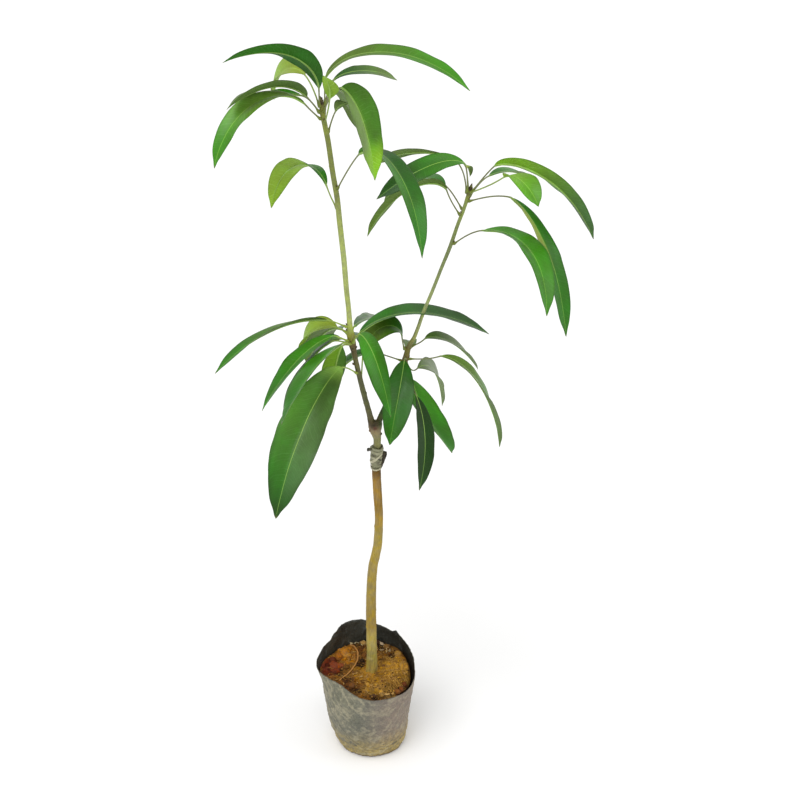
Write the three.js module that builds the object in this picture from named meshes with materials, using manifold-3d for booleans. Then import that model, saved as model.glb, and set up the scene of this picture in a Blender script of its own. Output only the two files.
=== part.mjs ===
// Grafted mango sapling in a black nursery bag, full size, in millimetres.
// +Z is up, +X is to the right of the side that the bag is seen from, and the
// origin is the centre of the bag's flat underside.
import * as THREE from "three";
import Module from "manifold-3d";

const wasm = await Module();
wasm.setup();

// ---------------------------------------------------------------- sizes (mm)
const GAP = 0.3; // clearance between pieces that touch

// Nursery bag: [height, outer radius, shift of the ring along X]
const BAG_RINGS = [
  [0, 42, -0.4],
  [3.5, 46.8, -0.8],
  [18, 52, -2.0],
  [49, 57.7, -4.4],
  [80, 61.6, -4.6],
  [110, 65.0, -3.8],
];
const BAG_SIDES = 28;
const BAG_FILM = 1.5; // wall of the doubled, folded film
const BAG_FLOOR = 1.5;
const LIP_SHIFT = -2.9;
const LIP_RADIUS = 66.3;
const LIP_HEIGHT = 139.5;
// Lobes of the torn-soft lip: [count round the rim, cosine part, sine part]
const LIP_OUT = [
  [1, -1.0, 0.0],
  [2, 1.1, -0.8],
  [3, -3.4, 0.7],
  [4, 2.5, 0.1],
];
const LIP_UP = [
  [1, -8.1, 17.1],
  [2, -7.1, 0.1],
  [3, 3.2, 1.1],
  [4, -2.2, 3.0],
];

// Soil
const SOIL_LEVEL = 126.3;
const SOIL_BELOW_LIP = 4.5;
const SOIL_SWELL = 3.2; // height of the clods on the top
const SOIL_PAD = 0.2; // flat share of the radius round the foot

// Trunk: [x, y, height, diameter, width along X over width along Y]
const TRUNK = [
  [0.6, 0.0, 126.7, 17.0, 1.00],
  [1.2, 0.0, 151.7, 15.6, 1.00],
  [1.0, 0.0, 185.2, 14.6, 1.00],
  [1.2, 0.0, 246.2, 13.8, 1.00],
  [3.7, -1.0, 298.2, 12.6, 1.00],
  [8.5, -3.0, 326.8, 12.0, 1.00],
  [11.4, -4.0, 346.5, 11.6, 1.00],
  [13.0, -3.0, 383.5, 11.0, 1.00],
  [12.0, -1.0, 412.0, 11.2, 1.00],
  [10.6, 0.0, 440.7, 11.4, 1.00],
  [10.1, 0.0, 459.0, 11.4, 1.00],
  [10.6, 0.0, 478.6, 10.8, 1.00],
  [11.7, 0.0, 501.0, 9.6, 1.00],
  [10.6, 0.0, 509.6, 11.6, 1.05],
  [9.4, 0.0, 517.5, 14.2, 1.15],
  [9.6, 0.0, 525.5, 14.2, 1.22],
];
const TRUNK_SIDES = 12;

// Tape round the graft: [height, wall]
const TAPE = [
  [460.4, 1.1],
  [464.0, 1.3],
  [470.0, 1.9],
  [477.0, 2.4],
  [484.0, 2.7],
  [489.0, 3.3],
  [491.3, 3.2],
];
// Cut heel of the rootstock that stands out beside the graft
const HEEL = { low: 462, high: 482.5, out: 11.4, cut: 14.2, wide: 8.5, inset: 7.4 };

// Stems: [x, y, height, diameter]
const LEADER = [
  [5.4, 0.0, 521.0, 9.6],
  [3.9, -0.9, 530.5, 8.2],
  [0.8, -2.7, 546.4, 7.0],
  [-5.1, -6.0, 574.0, 6.9],
  [-12.6, -10.0, 613.3, 6.5],
  [-17.4, -12.0, 642.5, 7.2],
  [-19.9, -12.0, 661.8, 7.2],
  [-21.3, -12.0, 689.1, 6.3],
  [-23.5, -12.0, 716.1, 6.4],
  [-26.0, -10.0, 755.0, 6.6],
  [-29.8, -8.0, 797.1, 6.6],
  [-32.5, -6.0, 829.5, 6.5],
  [-37.2, -4.0, 861.4, 6.3],
  [-41.6, -2.0, 897.0, 6.2],
  [-46.0, 0.0, 921.5, 6.0],
  [-48.4, 1.0, 939.9, 5.2],
];
const SIDE = [
  [12.4, 0.8, 523.0, 8.0],
  [17.2, 4.2, 535.6, 6.8],
  [26.4, 12.0, 554.5, 6.0],
  [37.6, 21.0, 578.6, 5.8],
  [47.4, 30.0, 601.2, 6.4],
  [52.1, 34.0, 617.6, 6.4],
  [60.3, 37.0, 633.1, 4.9],
  [71.3, 41.0, 664.8, 4.5],
  [82.0, 44.0, 691.9, 4.4],
  [92.6, 47.0, 720.6, 4.4],
  [102.8, 50.0, 747.0, 4.8],
  [111.9, 52.0, 775.5, 4.5],
  [118.1, 53.0, 792.8, 4.5],
  [122.8, 54.0, 808.0, 4.5],
  [125.9, 55.0, 818.6, 4.1],
];
const STEM_SIDES = 8;
const BUD_LENGTH = 9; // pointed bud on the tip of each stem

// Leaves: height on the stem, bearing of the stalk, turn of the blade along its
// length, climb at the stalk's foot, at the blade's foot and at its tip (degrees),
// bend, stalk, blade length, blade width (mm), roll and twist (degrees)
const LEAVES = {
  crown: [
    [936.9, 233, -42, 90, 90, -21, 0.61, 21, 140, 37, 30, 2],
    [936.9, 138, -13, 65, 36, -84, 0.74, 39, 84, 35, -15, -52],
    [931.1, 221, -6, 51, 49, -31, 0.73, 27, 105, 32, 12, 15],
    [923.3, 217, 0, 43, 51, -75, 0.72, 29, 157, 33, 3, -28],
    [938.4, 10, -33, 90, 83, -38, 0.41, 31, 184, 30, 9, 6],
    [932.5, 55, 8, 73, 37, -27, 0.3, 34, 149, 16, 22, 37],
    [932.5, 298, -19, 51, 15, -53, 0.5, 61, 141, 45, -102, -16],
    [842.7, 307, -17, 53, 44, -76, 0.67, 68, 187, 36, -14, -15],
    [816.5, 120, 19, 32, 55, -77, 0.62, 32, 167, 33, 13, 35],
    [919.7, 285, -41, 44, 62, 38, 0.86, 46, 43, 21, -17, -4],
    [906.3, 67, -5, 50, 30, -72, 0.6, 28, 121, 34, 0, 0],
    [926.5, 75, 7, 49, 7, -52, 0.47, 36, 175, 38, 11, -14],
    [929.6, 166, 10, 57, 13, -77, 0.84, 28, 155, 33, 2, -8],
  ],
  shoot: [
    [817.7, 328, 34, 54, 47, -68, 0.47, 47, 165, 39, -50, 17],
    [816.8, 299, 9, 27, 35, -56, 0.83, 82, 74, 31, -18, 38],
    [805.7, 331, -25, 23, -2, -78, 0.3, 57, 187, 31, -5, 13],
    [751.8, 325, -53, 41, 17, -70, 1.06, 49, 166, 41, 4, -41],
    [816.8, 218, -22, 90, 69, -37, 0.33, 36, 130, 27, -36, -11],
    [814.4, 147, -29, 84, 21, -32, 0.41, 48, 141, 16, 31, 23],
    [788.9, 215, -21, 55, 70, -66, 0.5, 41, 133, 25, 30, 34],
    [815.2, 94, -45, 41, 21, -90, 0.94, 36, 39, 15, 19, 13],
    [810, 47, 6, 36, 6, -45, 0.83, 40, 123, 25, 4, -5],
    [794.2, 124, 3, 38, 15, -58, 0.68, 40, 160, 36, -6, 9],
  ],
  tier: [
    [668.1, 205, 16, 33, 23, -33, 0.64, 27, 162, 29, 36, -32],
    [660, 182, -15, 32, 27, -92, 0.8, 12, 66, 46, -3, 1],
    [649.4, 224, -4, 35, 31, -52, 0.4, 25, 137, 31, -4, 25],
    [646.2, 247, -3, 30, 11, -34, 0.9, 28, 160, 46, 25, 22],
    [644.5, 197, 49, 5, -41, -90, 0.3, 8, 75, 35, 106, -19],
    [604.3, 239, -4, 40, 24, -69, 0.36, 38, 212, 58, -21, 7],
    [647.9, 292, -2, 51, 30, -60, 0.55, 30, 132, 29, 35, 29],
    [652.3, 37, -11, -6, 58, -37, 0.33, 7, 215, 42, -15, 38],
    [655.2, 75, 3, 52, 5, -34, 0.32, 11, 209, 27, -8, 47],
    [642.5, 132, 2, 12, -17, -51, 0.6, 18, 175, 38, -13, 3],
    [644.5, 171, -7, 14, -14, -86, 0.4, 20, 155, 40, 4, 5],
    [587.9, 86, 4, 58, 13, -52, 0.63, 45, 175, 43, -6, -7],
    [644.5, 111, 8, 13, -14, -60, 0.77, 35, 174, 44, 6, 0],
  ],
  low: [
    [615, 197, 7, 75, 90, -87, 0.85, 19, 66, 36, -16, -22],
    [617.6, 34, -10, 4, 34, -60, 0.31, 21, 110, 32, 19, -20],
    [602.8, 354, 9, 1, 24, -85, 0.33, 41, 164, 36, 6, -28],
    [599.5, 61, 8, -63, 7, -82, 0.57, 42, 135, 33, 44, 11],
    [604.3, 264, -16, 37, -13, -65, 0.69, 15, 116, 38, -12, -16],
    [599.5, 295, 0, -24, -70, -7, 0.37, 24, 126, 54, -13, -35],
    [596, 286, -30, -18, -15, -27, 1.05, 53, 151, 25, -21, -12],
    [599.5, 152, 10, 6, 2, -87, 0.51, 38, 175, 43, -11, 5],
    [605.8, 85, 9, 10, -5, -47, 0.48, 31, 96, 19, -4, 9],
  ],
};
const LEAF_STEM = { crown: "leader", shoot: "side", tier: "leader", low: "side" };
const STALK_RADIUS = 1.15;
const BLADE_HALF = 0.6; // half the thickness on the midrib
const BLADE_FOLD = 14; // how far each half of the blade stands up, degrees
const BLADE_FOOT = 0.8; // shape of the outline towards the foot
const BLADE_TIP = 0.88; // and towards the tip
const STALK_STEPS = 8;
const BLADE_STEPS = 24;
const STEP_SKIP = 2;

const COLOURS = {
  bag: ["#4b4d4a", 0.55],
  soil: ["#8a5a26", 0.95],
  trunk: ["#a08445", 0.8],
  tape: ["#9a9a78", 0.45],
  heel: ["#3c3a33", 0.85],
  leader: ["#6f7350", 0.7],
  side: ["#667345", 0.65],
  crown: ["#4d7a3a", 0.45],
  shoot: ["#4a7638", 0.45],
  tier: ["#447035", 0.45],
  low: ["#3f6a33", 0.45],
};

// ------------------------------------------------------------------- helpers
const rad = (d) => (d * Math.PI) / 180;
const mix = (a, b, t) => a + (b - a) * t;

// Solid from rings of equal size: each ring is a closed loop of points, run
// anticlockwise when seen from the far end of the loft. The quads between two
// rings are split along one diagonal, or along the other where otherWay says so
// for the side they stand on.
function loft(rings, otherWay = () => false) {
  const n = rings[0].length;
  const points = rings.flat();
  const faces = [];
  for (let i = 0; i + 1 < rings.length; i++)
    for (let j = 0; j < n; j++) {
      const a = i * n + j,
        b = i * n + ((j + 1) % n),
        c = a + n,
        d = b + n;
      if (otherWay(j)) faces.push([a, b, c], [b, d, c]);
      else faces.push([a, b, d], [a, d, c]);
    }
  const cap = (ring, turn) => {
    const mid = points.length,
      first = ring * n;
    const centre = new THREE.Vector3();
    for (let j = 0; j < n; j++) centre.add(points[first + j]);
    points.push(centre.divideScalar(n));
    for (let j = 0; j < n; j++) {
      const a = first + j,
        b = first + ((j + 1) % n);
      faces.push(turn ? [mid, b, a] : [mid, a, b]);
    }
  };
  cap(0, true);
  cap(rings.length - 1, false);
  return { points, faces };
}

function solid({ points, faces }) {
  return new wasm.Manifold(
    new wasm.Mesh({
      numProp: 3,
      vertProperties: new Float32Array(points.flatMap((p) => [p.x, p.y, p.z])),
      triVerts: new Uint32Array(faces.flat()),
    }),
  );
}

// Largest body of a solid, without the crumbs that a cut can leave.
function largest(body) {
  return body
    .decompose()
    .reduce((best, b) => (b.volume() > best.volume() ? b : best));
}

function meshOf(name, body, [colour, roughness]) {
  const m = body.getMesh();
  const pos = new Float32Array(m.numVert * 3);
  for (let i = 0; i < m.numVert; i++)
    pos.set(m.vertProperties.subarray(i * m.numProp, i * m.numProp + 3), i * 3);
  const geometry = new THREE.BufferGeometry()
    .setAttribute("position", new THREE.BufferAttribute(pos, 3))
    .setIndex(new THREE.BufferAttribute(new Uint32Array(m.triVerts), 1));
  geometry.computeVertexNormals();
  const mesh = new THREE.Mesh(
    geometry,
    new THREE.MeshStandardMaterial({ color: colour, roughness, metalness: 0 }),
  );
  mesh.name = name;
  return mesh;
}

// Smooth run through a list of stations (Catmull-Rom), each an array of numbers.
function run(stations, steps) {
  const at = (i) =>
    i < 0
      ? stations[0].map((v, k) => 2 * v - stations[1][k])
      : i >= stations.length
        ? stations.at(-1).map((v, k) => 2 * v - stations.at(-2)[k])
        : stations[i];
  const out = [];
  for (let i = 0; i + 1 < stations.length; i++) {
    const [p, a, b, q] = [at(i - 1), at(i), at(i + 1), at(i + 2)];
    for (let s = 0; s < steps; s++) {
      const t = s / steps;
      out.push(
        a.map(
          (v, k) =>
            0.5 *
            (2 * v +
              (b[k] - p[k]) * t +
              (2 * p[k] - 5 * v + 4 * b[k] - q[k]) * t * t +
              (3 * v - p[k] - 3 * b[k] + q[k]) * t * t * t),
        ),
      );
    }
  }
  out.push([...stations.at(-1)]);
  return out;
}

// Level rings along a run of [x, y, height, diameter, ratio]; `more` widens them.
function limbRings(line, sides, more = 0) {
  return line.map(([x, y, z, d, ratio = 1]) => {
    const ring = [];
    for (let j = 0; j < sides; j++) {
      const a = (2 * Math.PI * j) / sides;
      ring.push(
        new THREE.Vector3(
          x + (d / 2 + more) * ratio * Math.cos(a),
          y + (d / 2 + more) * Math.sin(a),
          z,
        ),
      );
    }
    return ring;
  });
}

// --------------------------------------------------------------------- stems
const trunkLine = run(TRUNK, 2);
const trunkOf = (more) => {
  const line = trunkLine.map((s) => [...s]);
  line[0][2] -= more;
  line.at(-1)[2] += more;
  return solid(loft(limbRings(line, TRUNK_SIDES, more)));
};

function budded(stations) {
  const line = run(stations, 2);
  const tip = line.at(-1),
    before = line.at(-2);
  const lean = [0, 1].map((k) => (tip[k] - before[k]) / (tip[2] - before[2]));
  for (const [share, wide] of [
    [0.35, 0.95],
    [0.7, 0.6],
    [1, 0.16],
  ])
    line.push([
      tip[0] + lean[0] * BUD_LENGTH * share,
      tip[1] + lean[1] * BUD_LENGTH * share,
      tip[2] + BUD_LENGTH * share,
      tip[3] * wide,
    ]);
  return line;
}
const stemOf = (stations, more) =>
  solid(loft(limbRings(budded(stations), STEM_SIDES, more)));

const trunk = trunkOf(0);
const leader = largest(stemOf(LEADER, 0).subtract(trunkOf(GAP)));
const side = largest(
  stemOf(SIDE, 0).subtract(trunkOf(GAP)).subtract(stemOf(LEADER, GAP)),
);

// Point and diameter of a stem at a height.
function stemAt(stations, height) {
  const line = run(stations, 12);
  const i = Math.max(
    0,
    Math.min(
      line.length - 2,
      line.findIndex((s, k) => k + 1 < line.length && line[k + 1][2] >= height),
    ),
  );
  const t = (height - line[i][2]) / (line[i + 1][2] - line[i][2]);
  return line[i].map((v, k) => mix(v, line[i + 1][k], t));
}

// ------------------------------------------------------------- graft and heel
function sleeve() {
  const inner = [],
    outer = [];
  for (const [z, wall] of TAPE) {
    const [x, y, , d, ratio] = stemAt(TRUNK, z);
    const [a] = limbRings([[x, y, z, d, ratio]], TRUNK_SIDES, GAP + 0.15);
    const [b] = limbRings([[x, y, z, d, ratio]], TRUNK_SIDES, GAP + 0.15 + wall);
    inner.push(a);
    outer.push(b);
  }
  // closed skin: up the outside, over the top, down the inside
  const rings = [...outer, ...inner.reverse(), outer[0]];
  const n = TRUNK_SIDES,
    points = rings.slice(0, -1).flat(),
    faces = [],
    total = points.length;
  for (let i = 0; i + 1 < rings.length; i++)
    for (let j = 0; j < n; j++) {
      const a = i * n + j,
        b = i * n + ((j + 1) % n),
        c = (a + n) % total,
        d = (b + n) % total;
      faces.push([a, b, d], [a, d, c]);
    }
  return solid({ points, faces });
}
const tape = sleeve().subtract(trunkOf(GAP * 0.6));

function heelBody() {
  const [x, y] = stemAt(TRUNK, (HEEL.low + HEEL.high) / 2);
  const outline = [
    [HEEL.inset, HEEL.low],
    [HEEL.out - 2.2, HEEL.low + 3],
    [HEEL.cut, HEEL.high - 4],
    [HEEL.cut - 1.2, HEEL.high - 1],
    [HEEL.inset, HEEL.high],
  ];
  const rings = [-1, 1].map((s) =>
    outline.map(
      ([out, z], i) =>
        new THREE.Vector3(
          x + out,
          y + (s * HEEL.wide) / (i === 0 || i === 4 ? 2 : 3.2),
          z,
        ),
    ),
  );
  return solid(loft([rings[1], rings[0]]));
}
const heel = largest(heelBody().subtract(tape.hull().scale([1, 1, 1])));

// -------------------------------------------------------------------- leaves
const outline = (s) => {
  const peak = BLADE_FOOT / (BLADE_FOOT + BLADE_TIP);
  const top = peak ** BLADE_FOOT * (1 - peak) ** BLADE_TIP;
  return (s ** BLADE_FOOT * (1 - s) ** BLADE_TIP) / top;
};

function leafRings(row, stations) {
  const [at, bearing, turn, climb, lift, droop, bend, stalk, length, width, roll, twist] = row;
  const [x, y, , d] = stemAt(stations, at);
  const away = d / 2 + 1.3;
  const spot = new THREE.Vector3(
    x + away * Math.cos(rad(bearing)),
    y + away * Math.sin(rad(bearing)),
    at,
  );
  const stops = [];
  const go = (distance, e, a) => {
    spot.x += distance * Math.cos(rad(e)) * Math.cos(rad(a));
    spot.y += distance * Math.cos(rad(e)) * Math.sin(rad(a));
    spot.z += distance * Math.sin(rad(e));
  };
  const stop = (e, a, r, half, thick, fold) =>
    stops.push({ p: spot.clone(), e, a, r, half, thick, fold });
  for (let i = 0; i < STALK_STEPS; i++) {
    const s = i / STALK_STEPS;
    if (i % STEP_SKIP === 0)
      stop(mix(climb, lift, s * s), bearing, roll * s, STALK_RADIUS, STALK_RADIUS, 0);
    const m = (i + 0.5) / STALK_STEPS;
    go(stalk / STALK_STEPS, mix(climb, lift, m * m), bearing);
  }
  for (let i = 0; i <= BLADE_STEPS; i++) {
    const s = i / BLADE_STEPS;
    if (i % STEP_SKIP === 0) {
      const half = Math.max((outline(s) * width) / 2, mix(STALK_RADIUS, 0.45, s));
      const thick = s < 0.12 ? mix(STALK_RADIUS, BLADE_HALF, s / 0.12) : mix(BLADE_HALF, 0.4, s);
      stop(mix(lift, droop, s ** bend), bearing + turn * s, roll + twist * s, half, thick, s > 0 && s < 1 ? BLADE_FOLD : 0);
    }
    const m = (i + 0.5) / BLADE_STEPS;
    if (i < BLADE_STEPS) go(length / BLADE_STEPS, mix(lift, droop, m ** bend), bearing + turn * m);
  }
  return stops.map(({ p, e, a, r, half, thick, fold }) => {
    const along = new THREE.Vector3(
      Math.cos(rad(e)) * Math.cos(rad(a)),
      Math.cos(rad(e)) * Math.sin(rad(a)),
      Math.sin(rad(e)),
    );
    const across = new THREE.Vector3(-Math.sin(rad(a)), Math.cos(rad(a)), 0);
    const up = along.clone().cross(across);
    const u = across.clone().multiplyScalar(Math.cos(rad(r))).addScaledVector(up, Math.sin(rad(r)));
    const v = across.clone().multiplyScalar(-Math.sin(rad(r))).addScaledVector(up, Math.cos(rad(r)));
    const put = (c, h) => p.clone().addScaledVector(u, c).addScaledVector(v, h);
    const c = half * Math.cos(rad(fold)),
      h = half * Math.sin(rad(fold));
    return [put(c, h), put(0, thick), put(-c, h), put(0, -thick)];
  });
}

// ----------------------------------------------------------------------- bag
const waves = (list, a) =>
  list.reduce((sum, [k, c, s]) => sum + c * Math.cos(k * a) + s * Math.sin(k * a), 0);
const lipHeight = (a) => LIP_HEIGHT + waves(LIP_UP, a);
const soilEdge = (a) =>
  Math.min(SOIL_LEVEL + 0.6 * Math.sin(3 * a), lipHeight(a) - SOIL_BELOW_LIP);
const lipRadius = (a) => LIP_RADIUS + waves(LIP_OUT, a);

// Point of the bag's wall at a height, `inside` mm in from its outer face.
function wallPoint(a, z, inside) {
  const rings = [...BAG_RINGS, [lipHeight(a), lipRadius(a), LIP_SHIFT]];
  let i = rings.findIndex((r, k) => k + 1 < rings.length && rings[k + 1][0] >= z);
  if (i < 0) i = rings.length - 2;
  const t = (z - rings[i][0]) / (rings[i + 1][0] - rings[i][0]);
  const radius = mix(rings[i][1], rings[i + 1][1], t) - inside;
  const shift = mix(rings[i][2], rings[i + 1][2], t);
  return new THREE.Vector3(shift + radius * Math.cos(a), radius * Math.sin(a), z);
}
const round = [...Array(BAG_SIDES).keys()].map((j) => (2 * Math.PI * j) / BAG_SIDES);

function bagBody() {
  const outer = BAG_RINGS.map(([z]) => round.map((a) => wallPoint(a, z, 0)));
  outer.push(round.map((a) => wallPoint(a, soilEdge(a), 0)));
  outer.push(round.map((a) => wallPoint(a, lipHeight(a), 0)));
  const inner = BAG_RINGS.slice(1).map(([z]) => round.map((a) => wallPoint(a, z, BAG_FILM)));
  inner.unshift(round.map((a) => {
    const p = wallPoint(a, 0, BAG_FILM);
    p.z = BAG_FLOOR;
    return p;
  }));
  inner.push(round.map((a) => wallPoint(a, soilEdge(a), BAG_FILM)));
  inner.push(round.map((a) => wallPoint(a, lipHeight(a), BAG_FILM)));
  return solid(loft([...outer, ...inner.reverse()]));
}

function soilBody() {
  const inset = BAG_FILM + GAP + 0.25;
  const side = BAG_RINGS.slice(1).map(([z]) => round.map((a) => wallPoint(a, z, inset)));
  side.unshift(round.map((a) => {
    const p = wallPoint(a, 0, inset);
    p.z = BAG_FLOOR + GAP;
    return p;
  }));
  const edge = round.map((a) => wallPoint(a, soilEdge(a), inset));
  side.push(edge);
  for (const share of [0.82, 0.6, 0.4, SOIL_PAD])
    side.push(edge.map((p, j) => {
      const a = round[j];
      const swell = share > SOIL_PAD
        ? SOIL_SWELL * (0.45 * Math.sin(2 * a + 5 * share) + 0.35 * Math.sin(3 * a - 7 * share) + 0.2 * Math.sin(5 * a + 9 * share)) * Math.sin(Math.PI * share)
        : 0;
      const level = mix(SOIL_LEVEL, p.z, share > SOIL_PAD ? share ** 2 : 0);
      return new THREE.Vector3(p.x * share, p.y * share, level + swell);
    }));
  return solid(loft(side, () => true));
}

// ------------------------------------------------------------------ assembly
const sapling = new THREE.Group();
sapling.name = "mango_sapling";
sapling.add(meshOf("bag", bagBody(), COLOURS.bag));
sapling.add(meshOf("soil", soilBody(), COLOURS.soil));
sapling.add(meshOf("trunk", trunk, COLOURS.trunk));
sapling.add(meshOf("graft_tape", tape, COLOURS.tape));
sapling.add(meshOf("graft_heel", heel, COLOURS.heel));
sapling.add(meshOf("leader_stem", leader, COLOURS.leader));
sapling.add(meshOf("side_stem", side, COLOURS.side));

const thickStems = [stemOf(LEADER, GAP * 0.7), stemOf(SIDE, GAP * 0.7)];
for (const [group, rows] of Object.entries(LEAVES))
  rows.forEach((row, i) => {
    const stations = LEAF_STEM[group] === "leader" ? LEADER : SIDE;
    // both faces of a half blade are split alike, so they stay apart in a twist
    let body = solid(loft(leafRings(row, stations), (j) => j % 2 === 1));
    for (const stem of thickStems) body = body.subtract(stem);
    sapling.add(
      meshOf(`leaf_${group}_${String(i + 1).padStart(2, "0")}`, largest(body), COLOURS[group]),
    );
  });

export default sapling;
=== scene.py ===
import math

import bpy
import numpy as np
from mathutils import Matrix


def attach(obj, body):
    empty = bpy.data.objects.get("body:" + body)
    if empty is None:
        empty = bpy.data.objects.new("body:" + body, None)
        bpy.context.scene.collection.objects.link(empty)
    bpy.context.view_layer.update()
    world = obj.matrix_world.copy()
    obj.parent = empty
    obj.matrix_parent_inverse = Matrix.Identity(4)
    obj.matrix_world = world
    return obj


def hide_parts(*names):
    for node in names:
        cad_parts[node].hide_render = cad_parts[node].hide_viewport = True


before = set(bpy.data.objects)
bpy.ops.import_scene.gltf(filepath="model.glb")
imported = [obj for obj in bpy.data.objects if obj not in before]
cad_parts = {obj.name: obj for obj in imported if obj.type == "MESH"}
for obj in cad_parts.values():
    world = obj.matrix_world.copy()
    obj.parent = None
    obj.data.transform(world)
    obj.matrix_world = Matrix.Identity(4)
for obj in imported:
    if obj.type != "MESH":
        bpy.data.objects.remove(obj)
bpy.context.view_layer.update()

MM = 0.001
RNG = np.random.default_rng(20)

# ------------------------------------------------------------------ sizes (mm)
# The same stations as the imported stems: [x, y, height, diameter, width ratio]
TRUNK = [
    (0.6, 0.0, 126.7, 17.0, 1.0), (1.2, 0.0, 151.7, 15.6, 1.0), (1.0, 0.0, 185.2, 14.6, 1.0),
    (1.2, 0.0, 246.2, 13.8, 1.0), (3.7, -1.0, 298.2, 12.6, 1.0), (8.5, -3.0, 326.8, 12.0, 1.0),
    (11.4, -4.0, 346.5, 11.6, 1.0), (13.0, -3.0, 383.5, 11.0, 1.0), (12.0, -1.0, 412.0, 11.2, 1.0),
    (10.6, 0.0, 440.7, 11.4, 1.0), (10.1, 0.0, 459.0, 11.4, 1.0), (10.6, 0.0, 478.6, 10.8, 1.0),
    (11.7, 0.0, 501.0, 9.6, 1.0), (10.6, 0.0, 509.6, 11.6, 1.05), (9.4, 0.0, 517.5, 14.2, 1.15),
    (9.6, 0.0, 525.5, 14.2, 1.22),
]
LEADER = [
    (5.4, 0.0, 521.0, 9.6), (3.9, -0.9, 530.5, 8.2), (0.8, -2.7, 546.4, 7.0), (-5.1, -6.0, 574.0, 6.9),
    (-12.6, -10.0, 613.3, 6.5), (-17.4, -12.0, 642.5, 7.2), (-19.9, -12.0, 661.8, 7.2),
    (-21.3, -12.0, 689.1, 6.3), (-23.5, -12.0, 716.1, 6.4), (-26.0, -10.0, 755.0, 6.6),
    (-29.8, -8.0, 797.1, 6.6), (-32.5, -6.0, 829.5, 6.5), (-37.2, -4.0, 861.4, 6.3),
    (-41.6, -2.0, 897.0, 6.2), (-46.0, 0.0, 921.5, 6.0), (-48.4, 1.0, 939.9, 5.2),
]
SIDE = [
    (12.4, 0.8, 523.0, 8.0), (17.2, 4.2, 535.6, 6.8), (26.4, 12.0, 554.5, 6.0),
    (37.6, 21.0, 578.6, 5.8), (47.4, 30.0, 601.2, 6.4), (52.1, 34.0, 617.6, 6.4),
    (60.3, 37.0, 633.1, 4.9), (71.3, 41.0, 664.8, 4.5), (82.0, 44.0, 691.9, 4.4),
    (92.6, 47.0, 720.6, 4.4), (102.8, 50.0, 747.0, 4.8), (111.9, 52.0, 775.5, 4.5),
    (118.1, 53.0, 792.8, 4.5), (122.8, 54.0, 808.0, 4.5), (125.9, 55.0, 818.6, 4.1),
]
BUD_LENGTH = 9.0

BAG_RINGS = [(0, 42, -0.4), (3.5, 46.8, -0.8), (18, 52, -2.0), (49, 57.7, -4.4),
             (80, 61.6, -4.6), (110, 65.0, -3.8)]
LIP_SHIFT, LIP_RADIUS, LIP_HEIGHT = -2.9, 66.3, 139.5
LIP_OUT = [(1, -1.0, 0.0), (2, 1.1, -0.8), (3, -3.4, 0.7), (4, 2.5, 0.1)]
LIP_UP = [(1, -8.1, 17.1), (2, -7.1, 0.1), (3, 3.2, 1.1), (4, -2.2, 3.0)]
SOIL_LEVEL = 126.3
TAPE = [(460.4, 1.1), (464.0, 1.3), (470.0, 1.9), (477.0, 2.4), (484.0, 2.7), (489.0, 3.3),
        (491.3, 3.2)]

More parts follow.
